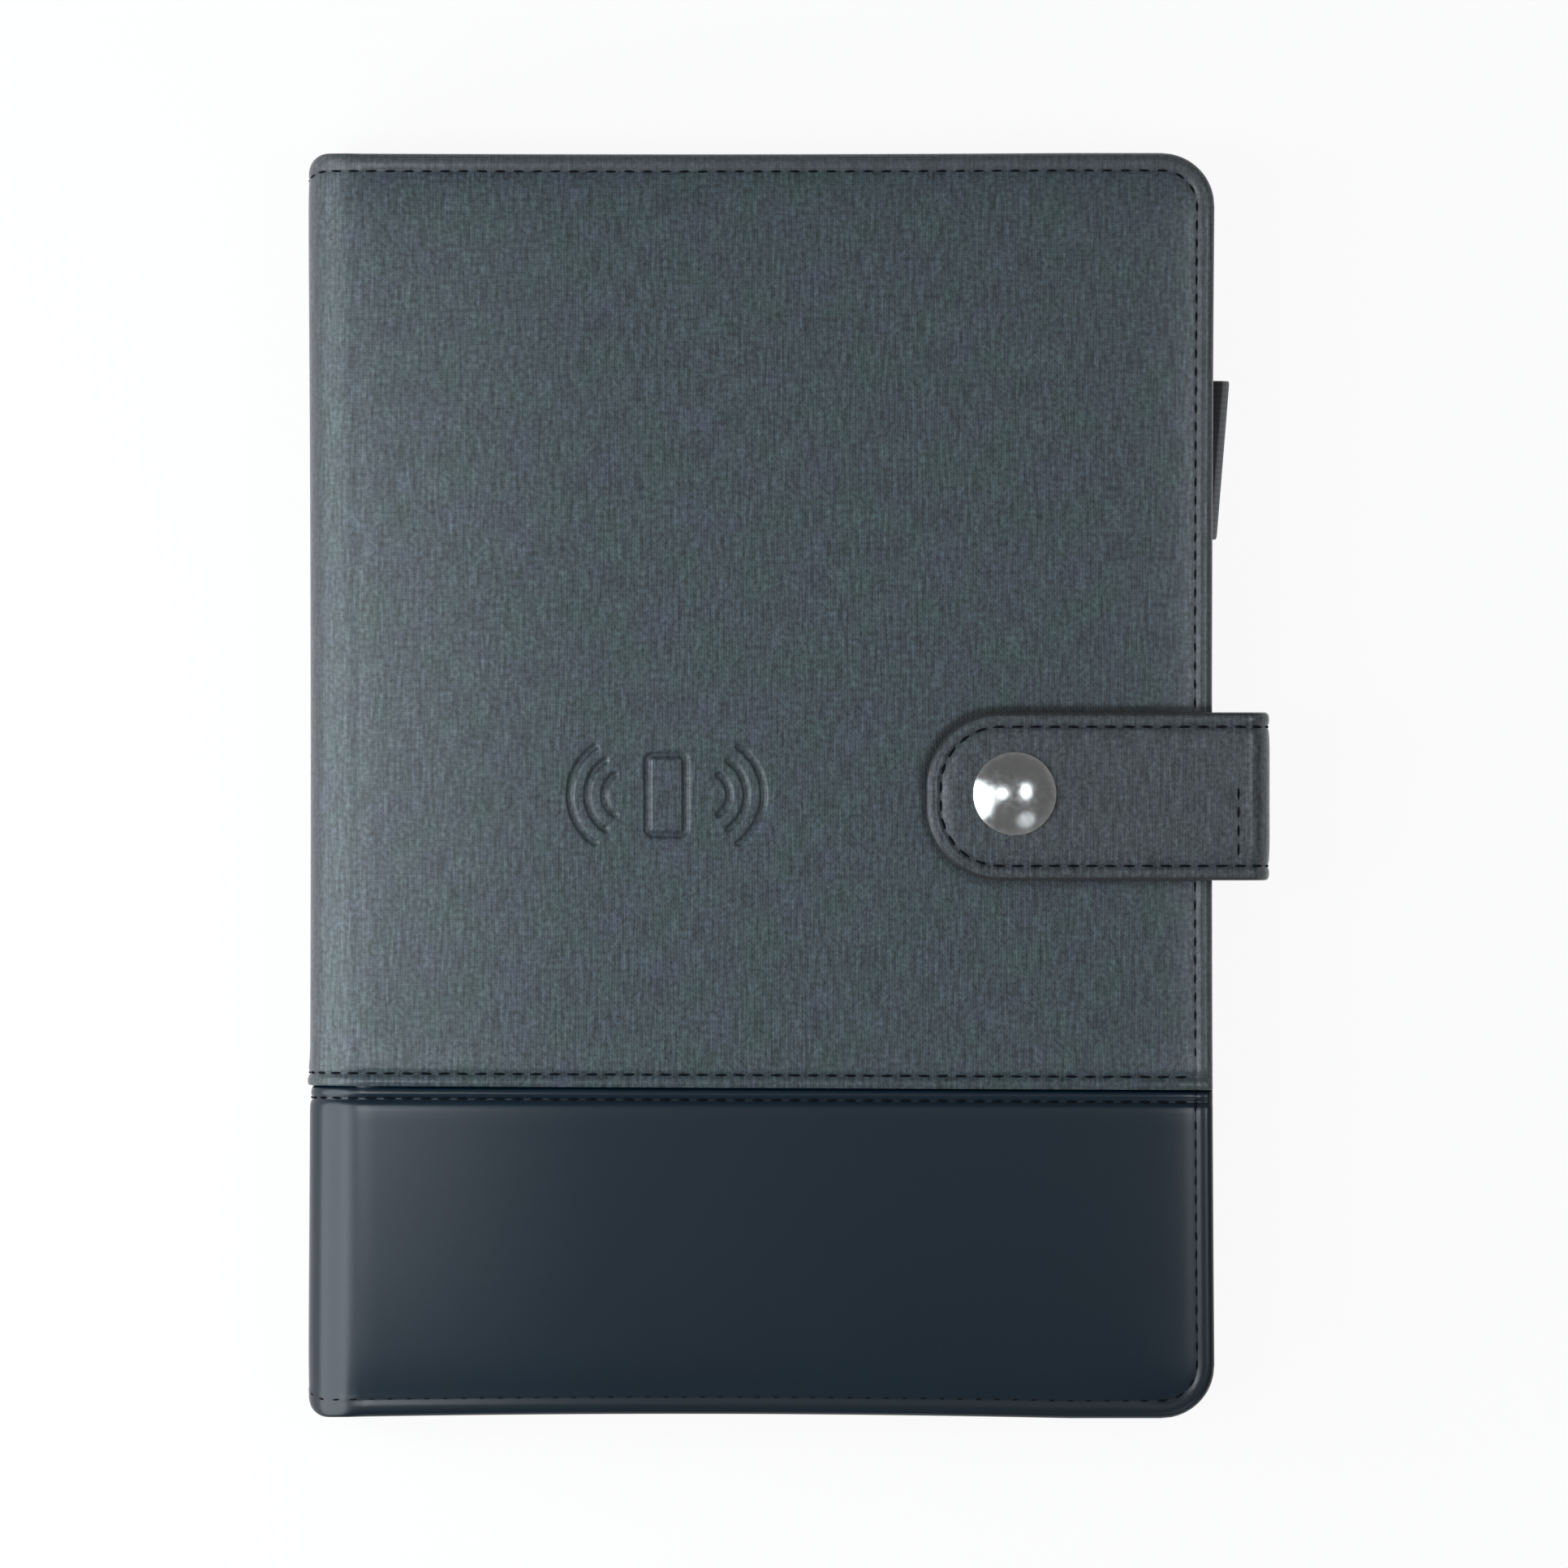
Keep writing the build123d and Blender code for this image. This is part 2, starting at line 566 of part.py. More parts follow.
def half_ring(side, y):
    """One half of one ring, from its tip at the top to its foot in the blade; side is -1 left or 1 right."""
    tip = math.degrees(RING_TIP_GAP / 2 / RING_R)
    start = (90 + tip) if side < 0 else (90 - tip)
    end = (180 + RING_FOOT_ANGLE) if side < 0 else -RING_FOOT_ANGLE
    spots = []
    for angle in (start, (start + end) / 2, end):
        turn = math.radians(angle)
        spots.append((RING_MID_X + RING_R * math.cos(turn), y, RING_MID_Z + RING_R * math.sin(turn)))
    path = ThreePointArc(*spots)
    section = Plane(origin=path @ 0, z_dir=path % 0) * Circle(WIRE_R)
    foot_x = spots[-1][0]
    foot = disc(foot_x, y, BLADE_LOW, spots[-1][2], WIRE_R)
    return sweep(section, path) + foot


def blade(side):
    """One of the two steel blades under the arch, which carry the half rings."""
    inner = RING_MID_X + side * BLADE_GAP
    outer = inner + side * BLADE_W
    return block(min(inner, outer), max(inner, outer), -BLADE_L / 2, BLADE_L / 2, BLADE_LOW, BLADE_TOP)


def lever(side):
    """The thumb lever at one end of the ring binder; side is 1 at the top of the page and -1 at its foot."""
    pivot_y = BASE_L / 2 - LEVER_INSET
    pivot_z = COVER_T + LEVER_LIFT + LEVER_BARREL_R
    half_t = LEVER_T / 2
    end_y = pivot_y + LEVER_L
    flat_y = pivot_y + LEVER_FLAT
    section = [
        (pivot_y, pivot_z - half_t),
        (flat_y, pivot_z - half_t),
        (end_y, pivot_z - half_t + LEVER_RISE),
        (end_y, pivot_z + half_t + LEVER_RISE),
        (flat_y, pivot_z + half_t),
        (pivot_y, pivot_z + half_t),
    ]
    x0 = RING_MID_X - LEVER_W / 2
    corners = [(x0, y, z) for y, z in section]
    plate = extrude(make_face(Polyline(*corners, close=True)), LEVER_W, dir=(1, 0, 0))
    ends = plate.edges().filter_by(Axis.Z).group_by(Axis.Y)[-1]
    plate = fillet(ends, LEVER_CORNER_R)
    barrel = Pos(RING_MID_X, pivot_y, pivot_z) * Rot(0, 90, 0) * Cylinder(LEVER_BARREL_R, LEVER_W)
    whole = plate + barrel
    return whole if side > 0 else mirror(whole, about=Plane.XZ)


def page_block():
    """The loose-leaf pages, lifted over the ring binder at their left edge, with a slot for each ring."""
    ramp_end = PAGE_RAMP_X + PAGE_RAMP
    right = PAGE_X + PAGE_W
    section = [
        (PAGE_X, PAGE_RAISED),
        (PAGE_RAMP_X, PAGE_RAISED),
        (ramp_end, PAGE_FLAT),
        (right, PAGE_FLAT),
        (right, PAGE_FLAT + PAGES_T),
        (ramp_end, PAGE_FLAT + PAGES_T),
        (PAGE_RAMP_X, PAGE_RAISED + PAGES_T),
        (PAGE_X, PAGE_RAISED + PAGES_T),
    ]
    pages = prism(section, -PAGE_H / 2, PAGE_H / 2)
    pages = fillet(pages.edges().filter_by(Axis.Z).group_by(Axis.X)[-1], PAGE_CORNER_R)
    ring_x = RING_MID_X + RING_R
    for y in RING_YS:
        y0 = y - PAGE_SLOT_W / 2
        top = PAGE_RAISED + PAGES_T
        pages -= block(ring_x - PAGE_SLOT_IN, ring_x + PAGE_SLOT_OUT, y0, y0 + PAGE_SLOT_W, PAGE_FLAT, top)
    return pages


def loop_section(y, out, wall):
    """The pen loop's section at one end: a rounded oblong that reaches out past the fore-edge."""
    x0 = PAGE_X + PAGE_W + LOOP_GAP + wall
    x1 = RIGHT + out - wall
    z0 = COVER_T + wall
    z1 = COVER_T + LOOP_H - wall
    plane = Plane(origin=((x0 + x1) / 2, y, (z0 + z1) / 2), x_dir=(1, 0, 0), z_dir=(0, -1, 0))
    return plane * RectangleRounded(x1 - x0, z1 - z0, LOOP_CORNER_R - wall)


def pen_loop():
    """A soft loop at the fore-edge, wider at its upper end, open through its length."""
    top = FOOT + LOOP_TOP_Y
    foot = top - LOOP_L
    outer = loft([loop_section(foot, LOOP_OUT_FOOT, 0), loop_section(top, LOOP_OUT_TOP, 0)])
    inner = loft([loop_section(foot, LOOP_OUT_FOOT, LOOP_WALL), loop_section(top, LOOP_OUT_TOP, LOOP_WALL)])
    return outer - inner


def bank_body(z0, z1, inset):
    """A layer of the power bank's outline, inset by a wall."""
    width = BANK_W - 2 * inset
    height = BANK_H - 2 * inset
    return rounded_block(BANK_MID_X, BANK_MID_Y, width, height, z0, z1, BANK_CORNER_R - inset)


def boss_spots():
    """Where the power bank's screws and bosses stand: at the circuit board's corners."""
    spots = []
    for x in (-CIRCUIT_W / 2 + SCREW_INSET_X, CIRCUIT_W / 2 - SCREW_INSET_X):
        for y in (SCREW_INSET_Y, CIRCUIT_H - SCREW_INSET_Y):
            spots.append((BANK_MID_X + x, CIRCUIT_FOOT + y))
    return spots


def port_cut(mid_x, width, thickness, z0):
    """The hole in the power bank's lower wall for one port."""
    x0 = mid_x - width / 2 - PORT_FIT
    x1 = mid_x + width / 2 + PORT_FIT
    y1 = BANK_FOOT + BANK_WALL
    return block(x0, x1, BANK_FOOT, y1, z0 - PORT_FIT, z0 + thickness + PORT_FIT)


def port(mid_x, width, thickness, length, sheet, tongue_w, tongue_t, tongue_l, z0):
    """A port's metal shell, open towards the foot of the page, with the contact tongue inside."""
    z1 = z0 + thickness
    x0 = mid_x - width / 2
    x1 = mid_x + width / 2
    y1 = PORT_FACE_Y + length
    shell = block(x0, x1, PORT_FACE_Y, y1, z0, z1)
    shell -= block(x0 + sheet, x1 - sheet, PORT_FACE_Y, y1 - sheet, z0 + sheet, z1 - sheet)
    mid_z = (z0 + z1) / 2
    y0 = y1 - sheet - tongue_l
    half_w = tongue_w / 2
    half_t = tongue_t / 2
    return shell + block(mid_x - half_w, mid_x + half_w, y0, y1 - sheet, mid_z - half_t, mid_z + half_t)


def bank_ports():
    """Both ports stand on the circuit board's reader side, the larger one let into its edge."""
    usb_a_z = BANK_FLOOR + (BANK_ROOF - BANK_FLOOR - USB_A_T) / 2
    usb_c_z = CIRCUIT_LOW - USB_C_T
    usb_a_x = BANK_MID_X + USB_A_X
    usb_c_x = BANK_MID_X + USB_C_X
    return {
        "usb_a": (usb_a_x, USB_A_W, USB_A_T, usb_a_z),
        "usb_c": (usb_c_x, USB_C_W, USB_C_T, usb_c_z),
    }


def button_plate(z0, z1, grow):
    """An oblong about the button's middle, grown on all sides."""
    x = BANK_MID_X + BUTTON_X
    y = BANK_FOOT + BUTTON_Y
    return rounded_block(x, y, BUTTON_W + 2 * grow, BUTTON_H + 2 * grow, z0, z1, BUTTON_R + grow)


def light_spots():
    """Where the row of charge lights stands."""
    y = BANK_FOOT + BUTTON_Y
    return [(BANK_MID_X + LIGHT_X - i * LIGHT_PITCH, y) for i in range(LIGHT_COUNT)]


def power_bank():
    """The power bank: two shells, cells, circuit board, ports, switch, lights, button and screws."""
    cut_ports = [port_cut(*spec) for spec in bank_ports().values()]
    base = bank_body(BANK_JOIN, FRONT_IN, 0) - bank_body(BANK_JOIN, BANK_ROOF, BANK_WALL)
    for x, y in boss_spots():
        base += disc(x, y, CIRCUIT_TOP, BANK_ROOF, BOSS_R)
    screw_low = CIRCUIT_LOW - SCREW_HEAD_T
    screws = []
    for x, y in boss_spots():
        base -= disc(x, y, CIRCUIT_TOP, BANK_ROOF, SCREW_R + SCREW_FIT)
        screws.append(disc(x, y, CIRCUIT_LOW, BANK_ROOF, SCREW_R) + disc(x, y, screw_low, CIRCUIT_LOW, SCREW_HEAD_R))
    lid = bank_body(BANK_FACE, BANK_JOIN, 0)
    lid = fillet(lid.faces().sort_by(Axis.Z)[0].edges(), BANK_EDGE_R)
    lid -= bank_body(BANK_FLOOR, BANK_JOIN, BANK_WALL)
    lid -= button_plate(BANK_FACE, BANK_FLOOR, BUTTON_FIT)
    for x, y in light_spots():
        lid -= disc(x, y, BANK_FACE, BANK_FLOOR, LIGHT_R + LIGHT_FIT)

    usb_a_x, usb_a_w, usb_a_t, usb_a_z = bank_ports()["usb_a"]
    usb_c_x, usb_c_w, usb_c_t, usb_c_z = bank_ports()["usb_c"]
    circuit = block(
        BANK_MID_X - CIRCUIT_W / 2,
        BANK_MID_X + CIRCUIT_W / 2,
        CIRCUIT_FOOT,
        CIRCUIT_FOOT + CIRCUIT_H,
        CIRCUIT_LOW,
        CIRCUIT_TOP,
    )
    for x, y in boss_spots():
        circuit -= disc(x, y, CIRCUIT_LOW, CIRCUIT_TOP, SCREW_R + SCREW_FIT)
    notch_x0 = usb_a_x - usb_a_w / 2
    circuit -= block(
        notch_x0, notch_x0 + usb_a_w, CIRCUIT_FOOT, PORT_FACE_Y + USB_A_L, CIRCUIT_LOW, CIRCUIT_TOP
    )
    return {
        "bank_base": base - cut_ports,
        "bank_lid": lid - cut_ports,
        "bank_screws": Compound(screws),
        "circuit_board": circuit,
        "battery_cells": Compound(battery_cells()),
        "usb_a_socket": port(
            usb_a_x, usb_a_w, usb_a_t, USB_A_L, USB_A_SHEET, USB_A_TONGUE_W, USB_A_TONGUE_T, USB_A_TONGUE_L, usb_a_z
        ),
        "usb_c_socket": port(
            usb_c_x, usb_c_w, usb_c_t, USB_C_L, USB_C_SHEET, USB_C_TONGUE_W, USB_C_TONGUE_T, USB_C_TONGUE_L, usb_c_z
        ),
        "charge_lights": Compound([disc(x, y, BANK_FACE, CIRCUIT_LOW, LIGHT_R) for x, y in light_spots()]),
        "button_switch": button_switch(),
        "power_button": power_button(),
    }


def battery_cells():
    """Two flat cells, one above the other on the page, stuck to the base."""
    cells = []
    for i in range(2):
        y = CELLS_TOP - CELL_H / 2 - i * (CELL_H + CELL_GAP)
        cells.append(
            rounded_block(BANK_MID_X, y, CELL_W, CELL_H, BANK_ROOF - CELL_T, BANK_ROOF, CELL_CORNER_R)
        )
    return cells


def power_button():
    """The button: its top stands proud of the lid, and its flange keeps it in."""
    flange_top = BANK_FLOOR + BUTTON_FLANGE_T
    top = button_plate(BANK_FACE - BUTTON_PROUD, BANK_FLOOR, 0)
    return top + button_plate(BANK_FLOOR, flange_top, BUTTON_FLANGE)


def button_switch():
    """The little switch on the circuit board that the button presses."""
    x = BANK_MID_X + BUTTON_X
    y = BANK_FOOT + BUTTON_Y
    low = BANK_FLOOR + BUTTON_FLANGE_T + BUTTON_TRAVEL + SWITCH_GAP
    half = SWITCH_W / 2
    return block(x - half, x + half, y - half, y + half, low, CIRCUIT_LOW)


def charging_coil():
    """The flat coil and its shield, in the window of the front board."""
    coil_low = FRONT_BOARD_OUT - COIL_T
    coil = disc(SIGN_MID_X, SIGN_MID_Y, coil_low, FRONT_BOARD_OUT, COIL_R)
    coil -= disc(SIGN_MID_X, SIGN_MID_Y, coil_low, FRONT_BOARD_OUT, COIL_BORE_R)
    shield = rounded_block(
        SIGN_MID_X, SIGN_MID_Y, SHIELD_W, SHIELD_W, FRONT_BOARD_IN, coil_low, SHIELD_CORNER_R
    )
    return {"charging_coil": coil, "coil_shield": shield}


def card_pockets():
    """Three stepped pockets for cards, beside the power bank."""
    x0 = BANK_MID_X + BANK_W / 2 + POCKET_GAP
    x1 = RIGHT - POCKET_RIGHT
    y0 = FOOT + POCKET_FOOT
    pockets = {}
    for i, name in enumerate(("rear", "middle", "front")):
        height = POCKET_H - i * POCKET_STEP
        z1 = FRONT_IN - i * POCKET_T
        pockets[f"card_pocket_{name}"] = rounded_block(
            (x0 + x1) / 2, y0 + height / 2, x1 - x0, height, z1 - POCKET_T, z1, POCKET_CORNER_R
        )
    return pockets


def ring_binder():
    """The ring binder: arch, rivets, blades, half rings and levers."""
    pieces = {"ring_base": ring_base(), "base_rivets": base_rivets()}
    for name, side in (("left", -1), ("right", 1)):
        pieces[f"half_rings_{name}"] = Compound([half_ring(side, y) for y in RING_YS])
        pieces[f"ring_blade_{name}"] = blade(side)
    for name, side in (("top", 1), ("foot", -1)):
        pieces[f"ring_lever_{name}"] = lever(side)
    return pieces


def main():
    """Make every piece and write each one to its own file."""
    pieces = {}
    for group in (front_cover, spine, back_cover, strap, ring_binder, power_bank, charging_coil, card_pockets):
        pieces.update(group())
    pieces["snap_cap"] = snap_cap()
    pieces["snap_socket"] = snap_socket()
    pieces["page_block"] = page_block()
    pieces["pen_loop"] = pen_loop()
    os.makedirs("parts", exist_ok=True)
    for name, piece in pieces.items():
        export_step(piece, f"parts/{name}.step")


main()
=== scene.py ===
import math
import random

import bpy
import numpy as np
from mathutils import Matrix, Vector


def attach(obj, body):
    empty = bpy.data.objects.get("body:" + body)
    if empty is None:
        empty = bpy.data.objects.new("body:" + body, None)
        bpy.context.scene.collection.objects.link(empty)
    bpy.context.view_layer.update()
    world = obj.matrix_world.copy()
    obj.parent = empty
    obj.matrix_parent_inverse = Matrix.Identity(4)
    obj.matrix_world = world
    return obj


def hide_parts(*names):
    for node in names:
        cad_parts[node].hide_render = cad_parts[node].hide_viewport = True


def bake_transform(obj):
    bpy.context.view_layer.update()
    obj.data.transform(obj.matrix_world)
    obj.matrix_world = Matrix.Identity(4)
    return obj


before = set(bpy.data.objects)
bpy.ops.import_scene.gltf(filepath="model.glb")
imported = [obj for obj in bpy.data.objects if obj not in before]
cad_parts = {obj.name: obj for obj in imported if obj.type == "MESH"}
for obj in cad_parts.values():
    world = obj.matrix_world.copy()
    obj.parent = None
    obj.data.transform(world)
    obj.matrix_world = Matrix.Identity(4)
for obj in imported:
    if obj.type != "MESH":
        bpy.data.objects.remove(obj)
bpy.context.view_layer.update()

# Sizes are in millimetres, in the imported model's frame, and become metres where a mesh is made.
MM = 0.001

# The cover, as the CAD has it
LEFT, RIGHT = -84.3, 84.3
TOP = 117.5
CLOSED_T = 30.0
COVER_T = 3.8
BEND_T = 1.6
SPINE_T = 3.0
BEND_R = 9.0
FORE_R = 10.0
SPINE_R = 4.0
COVER_THICK = ((0, 4.5, 7.0, 18.5, 21.5), (SPINE_T, SPINE_T, BEND_T, BEND_T, COVER_T))
SPINE_HALF = CLOSED_T / 2 - BEND_R
BEND_L = math.pi / 2 * BEND_R
BEND_X = LEFT + BEND_R
FLAT_S = SPINE_HALF + BEND_L
COVER_S = FLAT_S + RIGHT - BEND_X
BEND_SHARE = (2.8, 15.2)

# The seam between fabric and band, and how far the outline draws in between its corners
SEAM_Y = -56.1
SEAM_TILT = -0.0048
TILT_REACH = 12.0
LEFT_DRAW = 0.5
RIGHT_DRAW = 0.5
FOOT_DRAW = 0.8
TOP_DRAW = 0.25
DRAW_REACH = 40.0
DRAW_MID, DRAW_HALF = -15.0, 72.0
CORNER_REACH = 14.0
CORNER_END = 4.0

# The padded front falls away gently towards the spine, and its bend runs out softly into the flat
EASE_DROP = 1.2
EASE_REACH = 45.0
BEND_SOFT = 2.4

# The boards and the lining under the skins, which the skins never sink into
BOARD_LEFT = -74.0
BOARD_INSET = 1.3
BOARD_TOP = 28.3
BACK_BOARD_TOP = 29.0
BACK_SLACK = 0.5
SKIN_OVER_BOARD = 0.15
LINING_R = 6.75
SKIN_OVER_LINING = 0.1
HELD_FROM, HELD_TO = -75.9, -74.3
# How far into the bend the skin is held off the lining, and how deep a place may be sunk to be held there
HELD_REACH = 5.0
SUNK_MOST = 1.2

# The pressed sign
SIGN_X, SIGN_Y = -17.5, -1.7
SIGN_DEPTH = 0.48
# How dark the sign's strokes are painted, as shade in their recess
SIGN_SHADE = 0.33
SIGN_STROKE = 1.2
SIGN_SOFT = 0.13
HANDSET_HALF = (4.15, 8.0)
HANDSET_R = 1.8
WAVE_CENTRE = 7.1
WAVE_RADII = (10.9, 7.7, 4.5)
WAVE_HALF_ANGLE = 55.0
SIGN_STEP = 0.22
SIGN_HALF = (19.2, 9.9)

# The snap's stud, whose flange stands a little proud of the cloth round it
STUD_X, STUD_Y = 47.1, -1.5
STUD_DIP = 0.3
STUD_REACH = (5.7, 6.8)
STUD_HALF = 7.2

# The strap
STRAP_X = 94.5
STRAP_R = 4.0
STRAP_T = 2.4
STRAP_HALF = 15.6
STRAP_Y = -2.0
STRAP_TOP = 32.7
STRAP_LOW = 0.9
STRAP_TIP_X = 30.7
STRAP_TIP_R = 13.8
TONGUE_X = 69.3
STRAP_SHARE = (1.2, 6.8)
CROSS_ROW_X = 88.6
CROSS_ROW_Y = 0.2
CROSS_ROW_L = 13.7

# Stitches
STITCH_PITCH = 3.4
STITCH_L = 2.15
THREAD_R = 0.23
THREAD_SIDES = 7
THREAD_SHARES = (0.0, 0.12, 0.3, 0.5, 0.7, 0.88, 1.0)
THREAD_RISE = 0.16
THREAD_SUNK = 0.1
STITCH_SLANT = 0.09
BORDER_INSET = 3.3
STRAP_INSET = 2.7
SEAM_STITCHES = (2.35, -2.3)
SEAM_STITCH_UP = (-0.03, -0.46)
BORDER_STITCH_DEPTH = 0.62
INNER_STITCH_DEPTH = 0.16
STRAP_STITCH_DEPTH = 0.42

# The rim of the padded cover: inset from its edge, and how deep the skin lies there
COVER_RIM = (
    (0.0, 1.6), (0.03, 1.3), (0.1, 1.05), (0.2, 0.88), (0.35, 0.72), (0.55, 0.58), (0.8, 0.47), (1.05, 0.4),
    (1.3, 0.36), (1.6, 0.34), (1.9, 0.34), (2.2, 0.36), (2.6, 0.42), (2.85, 0.48), (3.05, 0.54), (3.3, 0.57),
    (3.55, 0.53), (3.75, 0.49), (4.1, 0.44), (4.8, 0.36), (5.8, 0.29), (7.5, 0.21), (10.0, 0.13), (13.0, 0.08),
    (17.0, 0.04), (22.0, 0.01), (27.0, 0.0),
)
# Round the edge and under it: inset, and share of the cover's thickness
COVER_UNDER = ((0.0, 0.62), (0.02, 0.8), (0.12, 0.9), (0.35, 0.97), (0.8, 1.0), (1.5, 1.0), (1.9, 0.93))

STRAP_RIM = (
    (0.0, 0.95), (0.03, 0.75), (0.1, 0.55), (0.25, 0.38), (0.45, 0.25), (0.75, 0.15), (1.1, 0.1), (1.6, 0.1),
    (2.0, 0.16), (2.3, 0.28), (2.5, 0.4), (2.7, 0.45), (2.9, 0.4), (3.1, 0.28), (3.5, 0.18), (4.2, 0.1),
    (5.2, 0.05), (7.0, 0.0),
)
STRAP_UNDER = ((0.0, 0.6), (0.05, 0.78), (0.2, 0.9), (0.5, 0.98), (1.0, 1.0), (1.5, 0.96))

# Where the rim's colour fades into the sheet's, as insets: the cover's border strip, and the strap's dark edge of
# painted shade
COVER_STRIP = (BORDER_INSET - 0.3, BORDER_INSET + 0.3)
STRAP_STRIP = (0.4, 0.65)

# Rows beside the seam: distance above it, and how far they stand above the cover's face
FOLD_ROWS = (
    (0.9, -0.6), (0.2, -0.55), (0.0, -0.25), (-0.03, 0.05), (0.05, 0.24), (0.3, 0.38), (0.8, 0.42), (1.3, 0.38),
    (1.8, 0.22), (2.1, 0.02), (2.35, -0.08), (2.6, 0.02), (2.9, 0.16), (3.4, 0.22), (4.2, 0.16), (5.4, 0.07),
    (7.0, 0.02), (9.0, 0.0),
)
BAND_ROWS = (
    (1.2, -1.1), (0.5, -1.05), (0.05, -1.0), (-0.15, -0.9), (-0.35, -0.5), (-0.7, -0.3), (-1.3, -0.22),
    (-1.7, -0.26), (-2.0, -0.42), (-2.3, -0.52), (-2.6, -0.4), (-3.0, -0.16), (-3.6, -0.04), (-4.6, 0.0),
    (-6.5, 0.0), (-9.0, 0.0),
)

# Where the cloth is rubbed smooth along the bend: distances from the middle of the spine, and how much
WORN_S = (SPINE_HALF + 1.0, SPINE_HALF + 3.0, SPINE_HALF + 5.5, SPINE_HALF + 7.5)
WORN_SHARE = (0.0, 0.8, 0.8, 0.0)

# The foot's stitch line is shallow: insets, and how much of the rim's groove is filled there
FOOT_FILL = ((1.6, 2.6, 3.3, 4.1, 5.0), (0.0, 0.05, 0.15, 0.05, 0.0))

# How dark the painted shade in a stitch line's groove is, as a share, beside its middle
STITCH_LINE_SHADE = ((-0.55, 0.0), (-0.2, 0.32), (0.2, 0.32), (0.55, 0.0))

# Where the cloth maps of mirrored sheets start, away from the others
BACK_MAP = (400, 0)

# The strap's outline on the cover's cloth map, round which its shadow is painted: its middle, and half its size less
# its corner
STRAP_SHADOW_MIDDLE = (FLAT_S + 80.7 - BEND_X, STRAP_Y, 0)
STRAP_SHADOW_HALF = (50.0 - STRAP_TIP_R, STRAP_HALF - STRAP_TIP_R, 1)

# A row or column that is nowhere near the rim
FAR = -1000.0

# Columns and rows of the sheets: how far apart, in the plain parts and in the bend
WIDE_STEP = 4.0
ROW_STEP = 3.0
BEND_STEP = 0.8
SOFT_STEP = 0.5
SOFT_REACH = 4.0
STUD_STEP = 0.6

random.seed(4)


# ---- materials


def linear(red, green, blue):
    """A colour as written in a picture, 0 to 255, as the shader takes it."""
    shares = [value / 255 for value in (red, green, blue)]
    return tuple(v / 12.92 if v <= 0.04045 else ((v + 0.055) / 1.055) ** 2.4 for v in shares) + (1.0,)


class Nodes:
    """The nodes of a material or of the world."""

    def __init__(self, holder):
        holder.use_nodes = True
        self.holder = holder
        self.tree = holder.node_tree

    def add(self, kind, inputs=None, **settings):
        """A node, with its settings, and its inputs given as values or as other nodes' outputs."""
        node = self.tree.nodes.new("ShaderNode" + kind)
        for key, value in settings.items():
            setattr(node, key, value)
        for key, value in (inputs or {}).items():
            self.feed(node.inputs[key], value)
        return node

    def feed(self, socket, value):
        """Gives a socket a value, or links an output to it."""
        if isinstance(value, bpy.types.NodeSocket):
            self.tree.links.new(value, socket)
        else:
            socket.default_value = value

    def math(self, operation, a, b=0.0):
        """The result of a sum on one or two numbers."""
        return self.add("Math", {0: a, 1: b}, operation=operation).outputs[0]

    def vector(self, operation, a, b=(0, 0, 0)):
        """The result of a sum on one or two points."""
        return self.add("VectorMath", {0: a, 1: b}, operation=operation).outputs[0]

    def times(self, product, *factors):
        """The product of two or more numbers."""
        for factor in factors:
            product = self.math("MULTIPLY", product, factor)
        return product

    def ribs(self, value):
        """Ribs, 0 to 1: the size of a sine."""
        return self.math("ABSOLUTE", self.math("SINE", value))

    def held(self, name):
        """A value that the mesh holds at each of its points."""
        return self.add("Attribute", attribute_name=name).outputs["Fac"]

    def cloth(self):
        """The place on a sheet, in millimetres, from its cloth map."""
        return self.add("UVMap", uv_map="cloth").outputs[0]

    def solid(self):
        """The place in a piece, in metres."""
        return self.add("TexCoord").outputs["Object"]

    def parts(self, vector):
        """A point's x, y and z."""
        return self.add("SeparateXYZ", {0: vector}).outputs

    def noise(self, vector, scale, detail=2.0, stretch=(1, 1, 1)):
        """Noise from 0 to 1 on a point, stretched along its axes."""
        spot = self.vector("MULTIPLY", vector, stretch)
        return self.add("TexNoise", {"Vector": spot, "Scale": scale, "Detail": detail}).outputs["Fac"]

    def mix(self, share, first, second):
        """A colour between two others."""
        node = self.add("Mix", data_type="RGBA")
        self.feed(node.inputs[0], share)
        self.feed(node.inputs[6], first)
        self.feed(node.inputs[7], second)
        return node.outputs[2]

    def scaled(self, colour, tone):
        """A colour times a number."""
        return self.add("VectorMath", {0: colour, 3: tone}, operation="SCALE").outputs[0]

    def spread(self, value, low, high, to_low, to_high):
        """A number moved from one range to another, and held inside it."""
        return self.add("MapRange", {0: value, 1: low, 2: high, 3: to_low, 4: to_high}).outputs[0]

    def vary(self, noise, to_low, to_high):
        """Noise moved from the range that it mostly keeps to, to another."""
        return self.spread(noise, 0.3, 0.7, to_low, to_high)

    def bump(self, height, distance):
        """A bump of the surface, in metres."""
        return self.add("Bump", {"Height": height, "Distance": distance, "Strength": 1.0}).outputs[0]


class Finish(Nodes):
    """One material of the part, with its shader's plain settings."""

    def __init__(self, name, **settings):
        super().__init__(bpy.data.materials.new(name))
        self.shader = self.tree.nodes["Principled BSDF"]
        for key, value in settings.items():
            self.shader.inputs[key.replace("_", " ")].default_value = value

    def use(self, colour, roughness, normal):
        """Links what varies to the shader, and gives the material."""
        for key, value in (("Base Color", colour), ("Roughness", roughness), ("Normal", normal)):
            if value is not None:
                self.feed(self.shader.inputs[key], value)
        return self.holder


